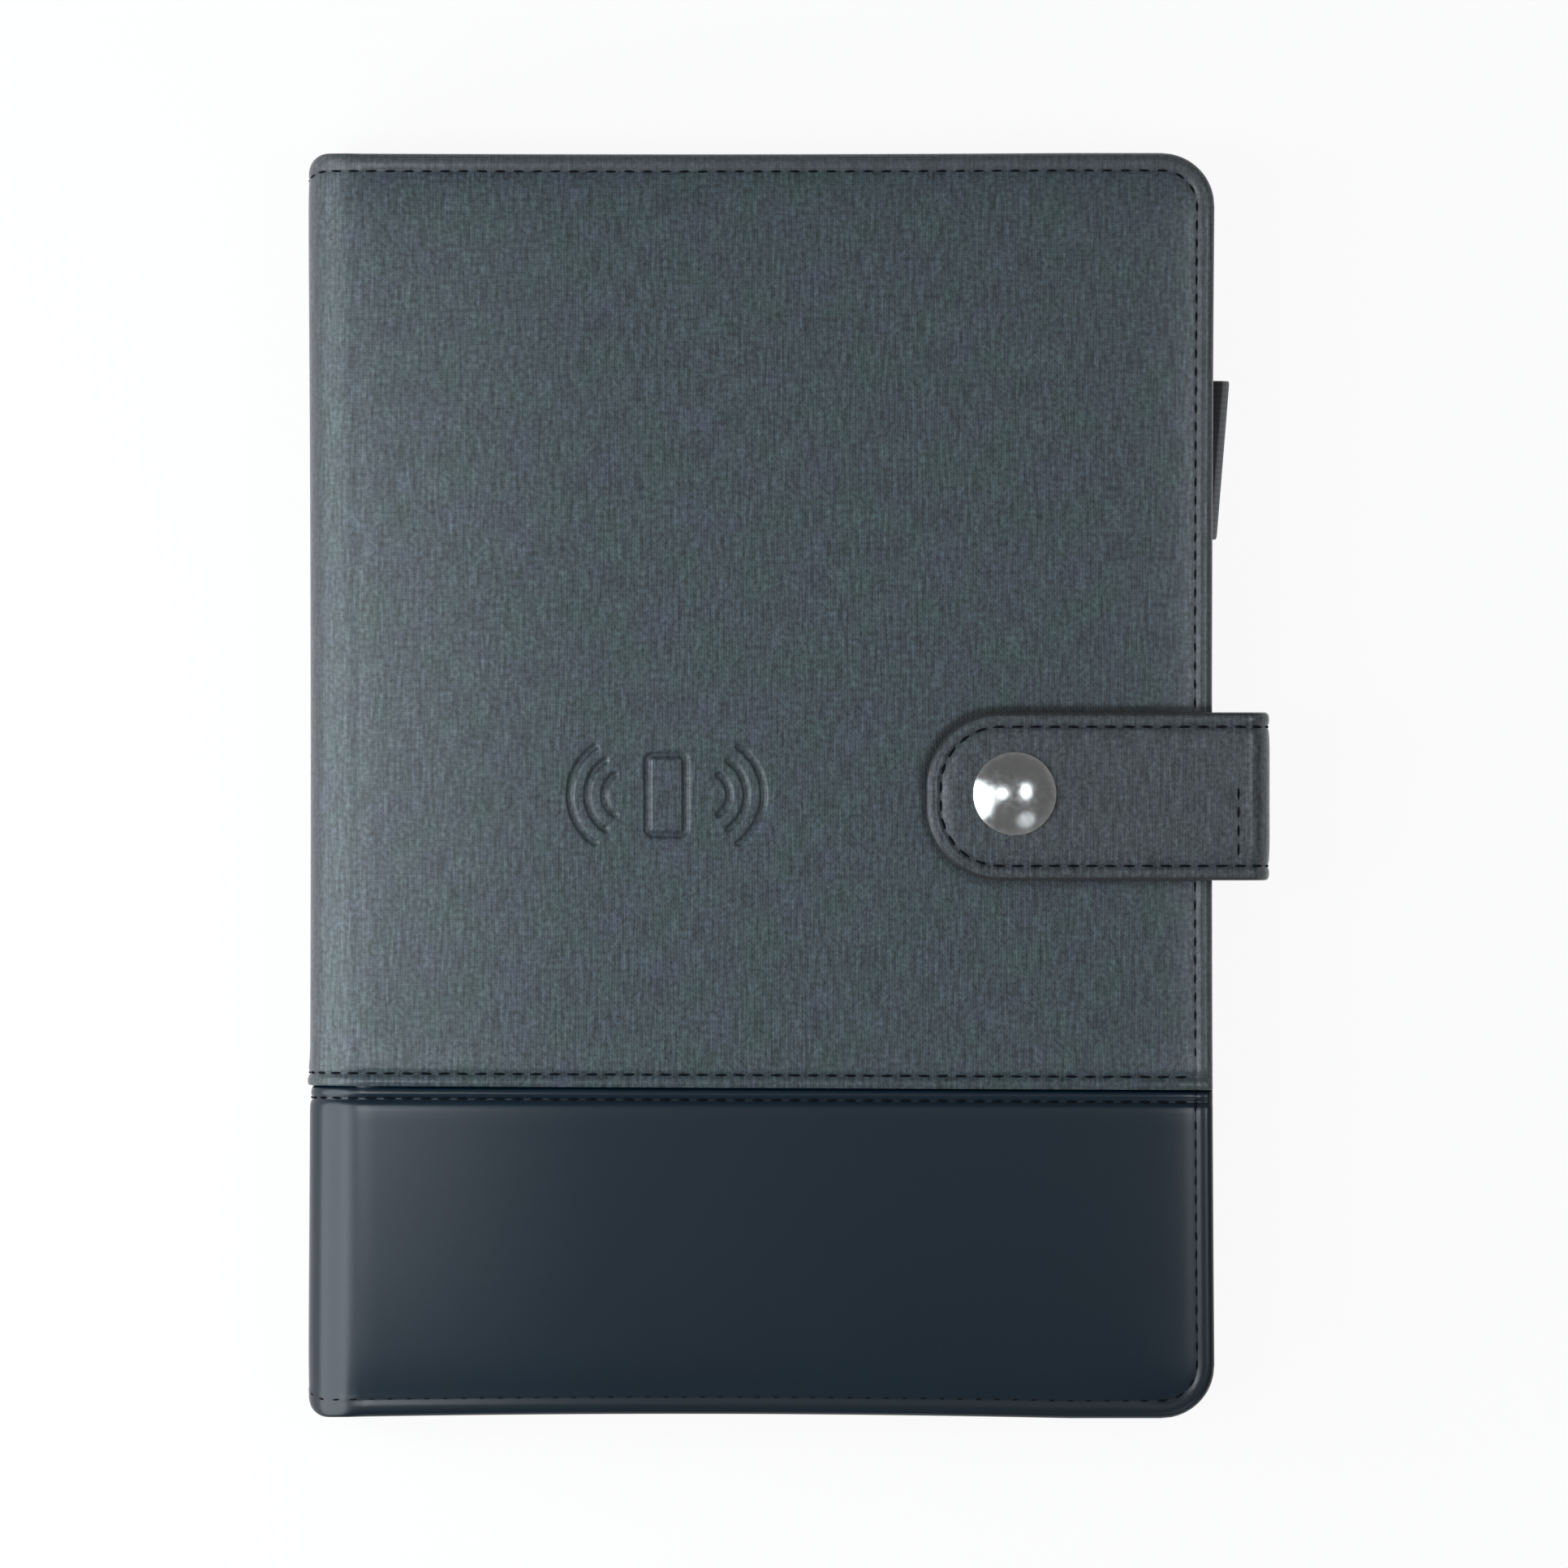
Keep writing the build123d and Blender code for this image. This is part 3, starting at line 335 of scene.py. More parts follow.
def weave(look, spot, pitch):
    """Plain weave: the height, 0 to 1, of threads that wander a little."""
    turn = math.pi / pitch
    wander = look.times(look.noise(spot, 0.35, 3.0), 0.5)
    wander = look.times(look.math("ADD", wander, 0.5), turn)
    parts = look.parts(spot)
    across = look.math("ADD", look.times(parts[0], turn), wander)
    along = look.math("ADD", look.times(parts[1], turn), wander)
    over = look.times(look.math("COSINE", across), look.math("COSINE", along))
    warp = look.times(look.ribs(across), look.spread(over, -0.4, 0.4, 0.45, 1.0))
    weft = look.times(look.ribs(along), look.spread(over, -0.4, 0.4, 1.0, 0.45))
    return look.math("MAXIMUM", warp, weft)


def strap_shadow(look, spot):
    """A painted contact shadow on the front along the strap's outline, 0 to 1, darker on its upper side."""
    offset = look.vector("SUBTRACT", spot, STRAP_SHADOW_MIDDLE)
    over = look.vector("SUBTRACT", look.vector("ABSOLUTE", offset), STRAP_SHADOW_HALF)
    outside = look.vector("MAXIMUM", over)
    reach = look.add("VectorMath", {0: outside}, operation="LENGTH").outputs["Value"]
    gap = look.math("SUBTRACT", reach, STRAP_TIP_R)
    ring = look.spread(look.math("ABSOLUTE", look.math("SUBTRACT", gap, 0.4)), 0.45, 1.3, 1.0, 0.0)
    return look.times(ring, look.spread(look.parts(offset)[1], -STRAP_HALF, STRAP_HALF * 0.5, 0.5, 1.0))


def woven_finish(name, base, other, rim_colour, strap_shadowed=False):
    """Coated cloth with a linen weave: uneven threads, slubs, a mottled tone, a colour of its own at the rim (on the
    strap a dark edge of painted shade), painted shade in grooves and creases, and the strap's painted shadow where it
    has one."""
    look = Finish(name, Specular_IOR_Level=0.3, Sheen_Weight=0.06, Sheen_Roughness=0.5, Coat_Roughness=0.3)
    spot = look.cloth()
    threads = weave(look, spot, 0.52)
    warp_slubs = look.noise(spot, 1.0, 2.0, (1.7, 0.17, 1))
    weft_slubs = look.noise(spot, 1.0, 2.0, (0.2, 1.7, 1))
    flecks = look.noise(spot, 1.15, 3.0)
    mottle = look.noise(spot, 0.11, 3.0)
    tone = look.times(
        look.vary(warp_slubs, 0.56, 1.5),
        look.vary(weft_slubs, 0.9, 1.12),
        look.vary(flecks, 0.48, 1.6),
        look.spread(threads, 0.1, 0.9, 0.78, 1.13),
    )
    # Painted shade in stitch grooves, the sign's strokes and the fold's crease, and the strap's painted contact
    # shadow
    shade_mask = look.held("recess_shade")
    if strap_shadowed:
        shade_mask = look.math("MAXIMUM", shade_mask, strap_shadow(look, spot))
    shade = look.spread(shade_mask, 0.0, 1.0, 1.0, 0.3)
    rim = look.held("rim")
    even = look.times(look.math("SUBTRACT", 1.0, tone), rim, 0.5)
    tone = look.times(look.math("ADD", tone, even), shade)
    cloth = look.mix(look.spread(mottle, 0.35, 0.65, 0.0, 1.0), base, other)
    colour = look.scaled(look.mix(rim, cloth, rim_colour), tone)
    gloss = look.times(
        look.vary(flecks, 0.6, 1.0), look.vary(warp_slubs, 0.7, 1.0), shade
    )
    look.feed(look.shader.inputs["Coat Weight"], gloss)
    height = look.math("ADD", threads, look.times(flecks, 1.2))
    return look.use(colour, look.vary(flecks, 0.44, 0.58), look.bump(height, 0.00008))


def smooth_finish(name, base, rim_colour):
    """Smooth coated cloth: a fine grain and a soft gloss that varies a little."""
    look = Finish(name, Specular_IOR_Level=0.1, Coat_Weight=0.76, Coat_Roughness=0.26)
    spot = look.cloth()
    cells = look.add("TexVoronoi", {"Vector": spot, "Scale": 2.6}, feature="SMOOTH_F1").outputs["Distance"]
    pores = look.noise(spot, 4.0, 2.0)
    cloud = look.noise(spot, 0.06, 3.0)
    # Painted shade in stitch grooves and in the crease beside the fold
    shade = look.spread(look.held("recess_shade"), 0.0, 1.0, 1.0, 0.4)
    tone = look.times(look.vary(cloud, 0.96, 1.04), shade)
    colour = look.scaled(look.mix(look.held("rim"), base, rim_colour), tone)
    height = look.math("ADD", cells, look.times(pores, 0.5))
    return look.use(colour, look.vary(cloud, 0.42, 0.5), look.bump(height, 0.00003))


def grained_finish(name, base, dark, scale, depth, roughness):
    """Moulded plastic, painted metal or card: a fine even grain and faint clouding."""
    look = Finish(name, Roughness=roughness)
    spot = look.solid()
    grain = look.noise(spot, scale, 2.0)
    cloud = look.noise(spot, 60.0, 3.0)
    return look.use(
        look.mix(look.spread(cloud, 0.35, 0.65, 0.0, 1.0), dark, base),
        look.vary(cloud, roughness * 0.9, roughness * 1.12),
        look.bump(grain, depth),
    )


def brushed_finish(name, base, dark, roughness, stretch):
    """Bare metal: fine lines along one axis, and a patchy polish."""
    look = Finish(name, Metallic=1.0, Roughness=roughness)
    spot = look.solid()
    lines = look.noise(spot, 900.0, 2.0, stretch)
    cloud = look.noise(spot, 90.0, 3.0)
    return look.use(
        look.mix(look.vary(cloud, 0.0, 1.0), dark, base),
        look.vary(lines, roughness * 0.8, roughness * 1.3),
        look.bump(lines, 0.000004),
    )


def paper_finish(name):
    """A stack of loose pages: cream paper whose edges show as fine lines."""
    look = Finish(name, Roughness=0.8, Specular_IOR_Level=0.2)
    spot = look.solid()
    sheets = look.noise(spot, 1.0, 1.0, (40, 40, 9000))
    fibre = look.noise(spot, 1500.0, 2.0)
    side = look.math("ABSOLUTE", look.parts(look.add("NewGeometry").outputs["Normal"])[2])
    lines = look.times(look.spread(side, 0.2, 0.6, 1.0, 0.0), look.spread(sheets, 0.4, 0.6, 0.0, 1.0))
    colour = look.mix(lines, linear(240, 236, 224), linear(186, 180, 164))
    height = look.math("ADD", look.times(lines, 2.0), fibre)
    return look.use(colour, None, look.bump(height, 0.00002))


def elastic_finish(name):
    """Woven elastic: ribs along the band and a fine cross weave, painted dark as shade over most of it and pale as a
    painted highlight along its outer top edge.
    """
    look = Finish(name, Roughness=0.8, Sheen_Weight=0.2)
    parts = look.parts(look.cloth())
    ribs = look.ribs(look.times(parts[1], math.pi / 1.1))
    picks = look.ribs(look.times(parts[0], math.pi / 0.45))
    height = look.times(ribs, look.spread(picks, 0.0, 1.0, 0.7, 1.0))
    # dark is painted shade over most of the band, and light is a painted highlight along its outer top edge
    dark = look.mix(height, linear(20, 23, 25), linear(34, 37, 39))
    light = look.mix(height, linear(90, 92, 95), linear(110, 112, 115))
    return look.use(look.mix(look.held("rim"), dark, light), None, look.bump(height, 0.00002))


def thread_finish(name):
    """Dark twisted thread."""
    look = Finish(name, Roughness=0.85, Specular_IOR_Level=0.1)
    parts = look.parts(look.solid())
    slant = look.math("ADD", parts[0], look.math("ADD", parts[1], parts[2]))
    twist = look.math("SINE", look.times(slant, 2 * math.pi / 0.00035))
    colour = look.mix(look.spread(twist, -1.0, 1.0, 0.0, 1.0), linear(8, 11, 15), linear(22, 26, 31))
    return look.use(colour, None, look.bump(twist, 0.00004))


FINISHES = {
    "woven_skin": woven_finish("woven_skin", linear(48, 64, 63), linear(52, 61, 71), linear(60, 66, 70), True),
    # The strap's rim colour is near black: painted shade standing in for the shadow along the strap's edge
    "strap_skin": woven_finish("strap_skin", linear(54, 63, 65), linear(56, 62, 67), linear(12, 16, 20)),
    "smooth_band": smooth_finish("smooth_band", linear(0, 24, 38), linear(14, 28, 38)),
    "lining": woven_finish("lining", linear(46, 48, 52), linear(50, 52, 56), linear(44, 46, 50)),
    "loop_elastic": elastic_finish("loop_elastic"),
    "thread": thread_finish("thread"),
    "paper": paper_finish("paper"),
}
# Base and dark colour, scale and depth of the grain, roughness, and the nodes that have it
GRAINED = {
    "bank_plastic": ((46, 48, 52), (40, 42, 46), 5200.0, 0.00002, 0.42, ("bank_base", "bank_lid")),
    "button_plastic": ((96, 100, 106), (86, 90, 96), 5200.0, 0.00001, 0.32, ("power_button",)),
    "light_pipe": ((214, 224, 232), (196, 208, 220), 3000.0, 0.000005, 0.25, ("charge_lights",)),
    "circuit": ((22, 84, 58), (16, 66, 46), 2600.0, 0.00001, 0.4, ("circuit_board",)),
    "switch_plastic": ((24, 24, 26), (18, 18, 20), 4000.0, 0.00001, 0.5, ("button_switch",)),
    "ferrite": ((52, 50, 50), (40, 38, 38), 2400.0, 0.00002, 0.7, ("coil_shield",)),
    "greyboard": (
        (150, 146, 138), (132, 128, 120), 1800.0, 0.00004, 0.9, ("front_board", "back_board", "spine_board")
    ),
}
# Base and dark colour, roughness, stretch of the brushed lines, and the nodes that have it
BRUSHED = {
    "cell_foil": ((0.72, 0.73, 0.75), (0.62, 0.63, 0.65), 0.38, (1, 1, 1), ("battery_cells",)),
    "snap_metal": (
        (0.6, 0.61, 0.6), (0.56, 0.57, 0.56), 0.2, (1, 1, 1), ("snap_cap", "snap_socket", "snap_stud", "stud_washer")
    ),
    "binder_steel": (
        (0.66, 0.67, 0.68), (0.58, 0.59, 0.6), 0.2, (1, 0.02, 1),
        ("ring_base", "base_rivets", "half_rings_left", "half_rings_right", "ring_blade_left", "ring_blade_right",
         "ring_lever_top", "ring_lever_foot"),
    ),
    "port_steel": ((0.62, 0.63, 0.64), (0.54, 0.55, 0.56), 0.3, (1, 0.05, 1), ("usb_a_socket", "usb_c_socket")),
    "screw_steel": ((0.5, 0.5, 0.5), (0.4, 0.4, 0.4), 0.32, (1, 1, 1), ("bank_screws",)),
    "coil_copper": ((0.72, 0.36, 0.2), (0.6, 0.28, 0.14), 0.35, (1, 1, 1), ("charging_coil",)),
}
nodes_with = {"paper": ("page_block",)}
for name, (base, dark, scale, depth, roughness, nodes) in GRAINED.items():
    FINISHES[name] = grained_finish(name, linear(*base), linear(*dark), scale, depth, roughness)
    nodes_with[name] = nodes
for name, (base, dark, roughness, stretch, nodes) in BRUSHED.items():
    FINISHES[name] = brushed_finish(name, (*base, 1), (*dark, 1), roughness, stretch)
    nodes_with[name] = nodes
for name, nodes in nodes_with.items():
    for node in nodes:
        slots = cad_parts[node].data.materials
        slots.clear()
        slots.append(FINISHES[name])


# ---- sheets


def in_scene(name, data):
    """An object in the scene that holds a mesh, a lamp or the camera."""
    thing = bpy.data.objects.new(name, data)
    bpy.context.scene.collection.objects.link(thing)
    return thing


def steps(start, end, step):
    """Evenly spaced numbers from start to end, both kept."""
    count = max(1, round(abs(end - start) / step))
    return [start + (end - start) * i / count for i in range(count + 1)]


def stations(start, *stops):
    """Numbers from start through each stop, at the spacing given with it."""
    line = [start]
    for stop, step in stops:
        line += steps(line[-1], stop, step)[1:]
    return line


def between(value, places, values):
    """The value at a place, from the values at a row of places."""
    return float(np.interp(value, places, values))


def reaches(line):
    """The distance along a line at each of its points."""
    return [0.0] + np.cumsum([math.dist(a, b) for a, b in zip(line, line[1:])]).tolist()


def point_on(line, reach, distance):
    """The point at a distance along a line, or the points at several."""
    return [np.interp(distance, reach, values) for values in zip(*line)]


def stitch_line_shade(gap):
    """How much painted shade a point has in the groove of a row of stitches at a distance, 0 to 1."""
    return between(gap, *zip(*STITCH_LINE_SHADE))


class Form:
    """A padded sheet: a line in the x, z plane swept along Y, with a rim that goes round its end and sides."""

    def __init__(self, line, end_s, half, mid_y, corner, rim, under, thick, strip, stitched):
        self.line, self.end_s, self.half, self.mid_y, self.corner = line, end_s, half, mid_y, corner
        self.insets, self.depths = zip(*rim)
        self.under, self.thick, self.strip, self.stitched = under, thick, strip, stitched

    def rim(self, t):
        """The inset and depth at t: minus the inset on the outside, and 1, 2, 3 ... round the edge and under."""
        if t <= 0:
            return -t, between(-t, self.insets, self.depths) / self.thick
        return self.under[round(t) - 1]

    def place(self, column, row, lift=0.0):
        """A point of the sheet, with its cloth map place, how near it is to the rim, and how much painted shade its
        stitch line gives it.
        """
        s, tx = column
        y, ty, end = row
        if tx > -self.corner and ty > -self.corner:
            across, along = tx + self.corner, ty + self.corner
            angle = math.pi / 4 * along / across if across >= along else math.pi / 2 - math.pi / 4 * across / along
            inset, share = self.rim(max(across, along) - self.corner)
            reach = self.corner - inset
            s = self.end_s - self.corner + reach * math.cos(angle)
            y = end * (self.half - self.corner + reach * math.sin(angle))
        elif tx > ty:
            inset, share = self.rim(tx)
            s = self.end_s - inset
            angle = 0.0
        else:
            inset, share = self.rim(ty)
            if ty > FAR:
                y = end * (self.half - inset)
            angle = math.pi / 2
        x, z, nx, nz, thick = self.line(s)
        depth = share * thick - lift
        outward = max(depth, 0.0)
        u = s + outward * math.cos(angle)
        v = self.mid_y + y + end * outward * math.sin(angle)
        near = max(tx, ty)
        rim = 1.0 if near > 0 else between(inset, self.strip, (1, 0))
        recess_shade = stitch_line_shade(inset - self.stitched) if FAR < near <= 0 else 0.0
        return (x - nx * depth, self.mid_y + y, z - nz * depth), (u, v), rim, recess_shade

    def edge_columns(self):
        """The columns of the rim at the sheet's end."""
        columns = [(self.end_s - i, -i) for i in reversed(self.insets)]
        return columns + [(self.end_s, k + 1.0) for k in range(len(self.under))]

    def edge_rows(self, end):
        """The rows of the rim at one side, from the middle outwards."""
        rows = [(end * (self.half - i), -i, end) for i in reversed(self.insets)]
        return rows + [(end * self.half, k + 1.0, end) for k in range(len(self.under))]


def cover_line(s):
    """The closed front's outside at a distance from the middle of the spine: x, z, outward normal, thickness."""
    thick = between(s, *COVER_THICK)
    if s < SPINE_HALF:
        return LEFT, CLOSED_T / 2 + s, -1.0, 0.0, thick
    if s < FLAT_S:
        angle = math.pi - (s - SPINE_HALF) / BEND_R
        nx, nz = math.cos(angle), math.sin(angle)
        return BEND_X + BEND_R * nx, CLOSED_T - BEND_R + BEND_R * nz, nx, nz, thick
    return BEND_X + s - FLAT_S, CLOSED_T, 0.0, 1.0, thick


STRAP_MID = (STRAP_TOP + STRAP_LOW) / 2
STRAP_RISE = STRAP_TOP - STRAP_R - STRAP_MID
STRAP_FLAT_S = STRAP_RISE + math.pi / 2 * STRAP_R
FLAP_S = STRAP_FLAT_S + STRAP_X - STRAP_R - STRAP_TIP_X
TONGUE_S = STRAP_FLAT_S + STRAP_X - STRAP_R - TONGUE_X
TONGUE_CORNER_R = 1.0


def strap_line(s):
    """The strap's outside at a distance from the middle of its upright part: x, z, outward normal, thickness."""
    if s < STRAP_RISE:
        return STRAP_X, STRAP_MID + s, 1.0, 0.0, STRAP_T
    if s < STRAP_FLAT_S:
        angle = (s - STRAP_RISE) / STRAP_R
        nx, nz = math.cos(angle), math.sin(angle)
        return STRAP_X - STRAP_R + STRAP_R * nx, STRAP_TOP - STRAP_R + STRAP_R * nz, nx, nz, STRAP_T
    return STRAP_X - STRAP_R - (s - STRAP_FLAT_S), STRAP_TOP, 0.0, 1.0, STRAP_T


def strap_form(end_s, corner, rim=STRAP_RIM, under=STRAP_UNDER):
    """A sheet of the strap, from the middle of its upright part to one end."""
    return Form(strap_line, end_s, STRAP_HALF, STRAP_Y, corner, rim, under, STRAP_T, STRAP_STRIP, STRAP_INSET)


cover = Form(cover_line, COVER_S, TOP, 0.0, FORE_R, COVER_RIM, COVER_UNDER, COVER_T, COVER_STRIP, BORDER_INSET)
flap = strap_form(FLAP_S, STRAP_TIP_R)
tongue = strap_form(TONGUE_S, TONGUE_CORNER_R)


def draw_in(points):
    """Pulls the cover's outline in a little between its corners, and rounds it at the spine's corners."""
    x, y, z = points.T
    corner = np.clip(LEFT + SPINE_R - x, 0, SPINE_R)
    drop = SPINE_R - np.sqrt(SPINE_R**2 - corner**2)
    near_end = np.clip((np.abs(y) - (TOP - CORNER_REACH)) / CORNER_REACH, 0, 1)
    y = y - np.sign(y) * drop * near_end**2
    side = np.clip(1 - (y / (TOP - CORNER_END)) ** 2, 0, 1)
    left = np.clip(1 - (x - LEFT) / DRAW_REACH, 0, 1) ** 2
    right = np.clip(1 - (RIGHT - x) / DRAW_REACH, 0, 1) ** 2
    across = np.clip(1 - ((x - DRAW_MID) / DRAW_HALF) ** 2, 0, 1)
    foot = np.clip(1 - (y + TOP) / DRAW_REACH, 0, 1) ** 2
    top = np.clip(1 - (TOP - y) / DRAW_REACH, 0, 1) ** 2
    x = x + side * (LEFT_DRAW * left - RIGHT_DRAW * right)
    y = y + across * (FOOT_DRAW * foot - TOP_DRAW * top)
    return np.stack([x, y, z], axis=1)


def bend_drop(reach):
    """How far the bend sinks so that it has no hard end, at a distance into it."""
    near = np.clip(reach / BEND_SOFT, -4, 4)
    under = np.array([0.5 + 0.5 * math.erf(value / math.sqrt(2)) for value in near])
    peak = np.exp(-(near**2) / 2) / math.sqrt(2 * math.pi)
    soft = (near**2 + 1) * under + near * peak
    return BEND_SOFT**2 / (2 * BEND_R) * (soft - np.maximum(near, 0) ** 2)


def over_board(x, y, left):
    """Which places lie over a cover's board, from a line beside the spine on."""
    return (x > left) & (x < RIGHT - BOARD_INSET) & (np.abs(y) < TOP - BOARD_INSET)


def front_shape(points):
    """The front skin's places, drawn in at the edges and falling away towards the spine, but never under the lining
    or the board."""
    x, y, z = draw_in(points).T
    share = np.clip(1 - (x - BEND_X) / EASE_REACH, 0, None) ** 2
    rise = np.clip((z - CLOSED_T + BEND_R) / BEND_R, 0, 1)
    z = z - (EASE_DROP * share + bend_drop(BEND_X - x)) * rise
    reach = np.maximum(BEND_X - x, 0)
    inner = CLOSED_T - BEND_R + np.sqrt(np.maximum(LINING_R**2 - reach**2, 0)) + SKIN_OVER_LINING
    held = np.clip((x - HELD_FROM) / (HELD_TO - HELD_FROM), 0, 1)
    least = inner + held * (BOARD_TOP + SKIN_OVER_BOARD - inner)
    over = over_board(x, y, BEND_X - HELD_REACH) & (z > least - SUNK_MOST)
    return np.stack([x, y, np.where(over, np.maximum(z, least), z)], axis=1)


def back_shape(points):
    """The back skin's places before they are mirrored, drawn in at the edges and never under the board."""
    x, y, z = draw_in(points).T
    over = over_board(x, y, BOARD_LEFT - BACK_SLACK) & (z > BACK_BOARD_TOP - BACK_SLACK)
    return np.stack([x, y, np.where(over, np.maximum(z, BACK_BOARD_TOP + SKIN_OVER_LINING), z)], axis=1)


def tilted(points, back):
    """A skin's places with the seam tilted, and then shaped as the front's or the back's."""
    near = np.interp(points[:, 1], (SEAM_Y - TILT_REACH, SEAM_Y, SEAM_Y + TILT_REACH), (0, 1, 0))
    points[:, 1] += near * SEAM_TILT * points[:, 0]
    return back_shape(points) if back else front_shape(points)


def mesh_object(name, points, faces, finish_name, flip=False, maps=None, rims=None, recess_shades=None):
    """A smooth mesh object from points in millimetres. With a cloth map it has rim values and painted recess shade
    too, which are 0 where none are given."""
    mesh = bpy.data.meshes.new(name)
    faces = [tuple(reversed(face)) for face in faces] if flip else faces
    mesh.from_pydata((np.asarray(points) * MM).tolist(), [], faces)
    mesh.polygons.foreach_set("use_smooth", [True] * len(mesh.polygons))
    if maps is not None:
        layer = mesh.uv_layers.new(name="cloth")
        corners = np.zeros(len(mesh.loops), dtype=np.int32)
        mesh.loops.foreach_get("vertex_index", corners)
        layer.data.foreach_set("uv", np.asarray(maps, dtype=np.float32)[corners].ravel())
        for key, values in (("rim", rims), ("recess_shade", recess_shades)):
            values = np.zeros(len(points)) if values is None else values
            layer = mesh.attributes.new(key, "FLOAT", "POINT")
            layer.data.foreach_set("value", np.asarray(values, dtype=np.float32))
    mesh.materials.append(FINISHES[finish_name])
    return in_scene(name, mesh)


def grid_faces(rows, columns, closed=False):
    """The four-sided faces of a grid of points, row by row."""
    faces = []
    last = columns if closed else columns - 1
    for i in range(rows - 1):
        for j in range(last):
            k = (j + 1) % columns
            faces.append((i * columns + j, i * columns + k, (i + 1) * columns + k, (i + 1) * columns + j))
    return faces


def across_middle(points, height):
    """The points mirrored in the level plane at a height."""
    return points * (1, 1, -1) + (0, 0, 2 * height)


def placed(form, columns, rows, lift=None):
    """The points of a sheet's columns and rows, with their cloth map places, rim values and painted recess shade.
    lift gives how far a point stands up and how much painted shade it has."""
    points, maps, rims, recess_shades = [], [], [], []
    for row in rows:
        for column in columns:
            up, recess_shade = lift(column[0], row[0]) if lift else (0.0, 0.0)
            point, place, rim, line_shade = form.place(column, row, up)
            points.append(point)
            maps.append(place)
            rims.append(rim)
            recess_shades.append(max(recess_shade, line_shade))
    return np.array(points), np.array(maps), rims, recess_shades


def skin_sheet(name, back, columns, rows, lift, finish_name):
    """One cover's outer sheet. The back's is a mirror image, and the front's is polished along the bend where it is
    woven."""
    points, maps, rims, recess_shades = placed(cover, columns, rows, lift)
    points = tilted(points, back)
    if back:
        points, maps = across_middle(points, CLOSED_T / 2), maps * (1, -1) + BACK_MAP
    elif finish_name == "woven_skin":
        worn = np.interp([s for s, tx in columns], WORN_S, WORN_SHARE)
        rims = np.maximum(rims, np.tile(worn, len(rows)))
    return mesh_object(name, points, grid_faces(len(rows), len(columns)), finish_name, back, maps, rims, recess_shades)


def sign_depth(x, y):
    """How deep the pressed sign is at a point, 0 to 1, with soft walls."""
    px, py = x - SIGN_X, y - SIGN_Y
    half = SIGN_STROKE / 2
    qx = abs(px) - HANDSET_HALF[0] + HANDSET_R
    qy = abs(py) - HANDSET_HALF[1] + HANDSET_R
    outline = math.hypot(max(qx, 0), max(qy, 0)) + min(max(qx, qy), 0) - HANDSET_R
    gap = abs(outline + half) - half
    for side in (-1, 1):
        wx = (px - side * WAVE_CENTRE) * side
        reach = math.hypot(wx, py)
        angle = math.degrees(math.atan2(abs(py), wx))
        for radius in WAVE_RADII:
            if angle <= WAVE_HALF_ANGLE:
                gap = min(gap, abs(reach - radius) - half)
            else:
                turn = math.radians(WAVE_HALF_ANGLE)
                end = math.hypot(wx - radius * math.cos(turn), abs(py) - radius * math.sin(turn))
                gap = min(gap, end - half)
    return 1.0 / (1.0 + math.exp(max(-30.0, min(30.0, gap / SIGN_SOFT * 2.2))))


def fold_fade(s, back):
    """How much of the folded edge stands out: all of it on the front and spine, and none under the back."""
    return between(s, (SPINE_HALF, FLAT_S), (1, 0)) if back else 1.0


def cover_columns(fine):
    """Columns from the middle of the spine to the fore-edge, close together at the bend, the sign and the rim."""
    stops = [(SPINE_HALF, 1.0), (FLAT_S, BEND_STEP), (FLAT_S + SOFT_REACH, SOFT_STEP)]
    if fine:
        sign_s, stud_s = SIGN_X - BEND_X + FLAT_S, STUD_X - BEND_X + FLAT_S
        stops += [(sign_s - SIGN_HALF[0], 2.5), (sign_s + SIGN_HALF[0], SIGN_STEP)]
        stops += [(stud_s - STUD_HALF, WIDE_STEP), (stud_s + STUD_HALF, STUD_STEP)]
    inside = stations(0, *stops, (COVER_S - COVER_RIM[-1][0], WIDE_STEP))[:-1]
    return [(s, s - COVER_S) for s in inside] + cover.edge_columns()


def fold_rows(profile, end):
    """The rows beside the seam, and how far each stands up."""
    rows = [(SEAM_Y + rise, FAR, end) for rise, up in profile]
    return rows, {round(SEAM_Y + rise, 4): up for rise, up in profile}


def fabric_sheet(name, back):
    """The woven panel of one cover with its half of the spine, from the seam to the top of the page."""
    low, high = SIGN_Y - SIGN_HALF[1], SIGN_Y + SIGN_HALF[1]
    fine = () if back else ((high, SIGN_STEP),)
    start, last = SEAM_Y + FOLD_ROWS[-1][0], TOP - COVER_RIM[-1][0]
    inside = stations(start, (low, ROW_STEP), *fine, (last, WIDE_STEP))[1:-1]
    rows, ups = fold_rows(FOLD_ROWS, 1)
    rows += [(y, y - TOP, 1) for y in inside] + cover.edge_rows(1)

    def lift(s, y):
        up = ups.get(round(y, 4), 0.0)
        share = fold_fade(s, back)
        value = up * share if up > 0 else up * (share + (1 - share) * 0.6)
        sign = 0.0
        if not back:
            x = cover_line(s)[0]
            if s > FLAT_S and abs(y - SIGN_Y) < SIGN_HALF[1] and abs(x - SIGN_X) < SIGN_HALF[0]:
                sign = sign_depth(x, y)
            value -= STUD_DIP * between(math.hypot(x - STUD_X, y - STUD_Y), STUD_REACH, (1, 0))
        # The second value is painted shade in the sign's strokes and along the seam's stitch line
        return value - SIGN_DEPTH * sign, max(SIGN_SHADE * sign, stitch_line_shade(y - SEAM_Y - SEAM_STITCHES[0]))

    return skin_sheet(name, back, cover_columns(not back), rows, lift, "woven_skin")


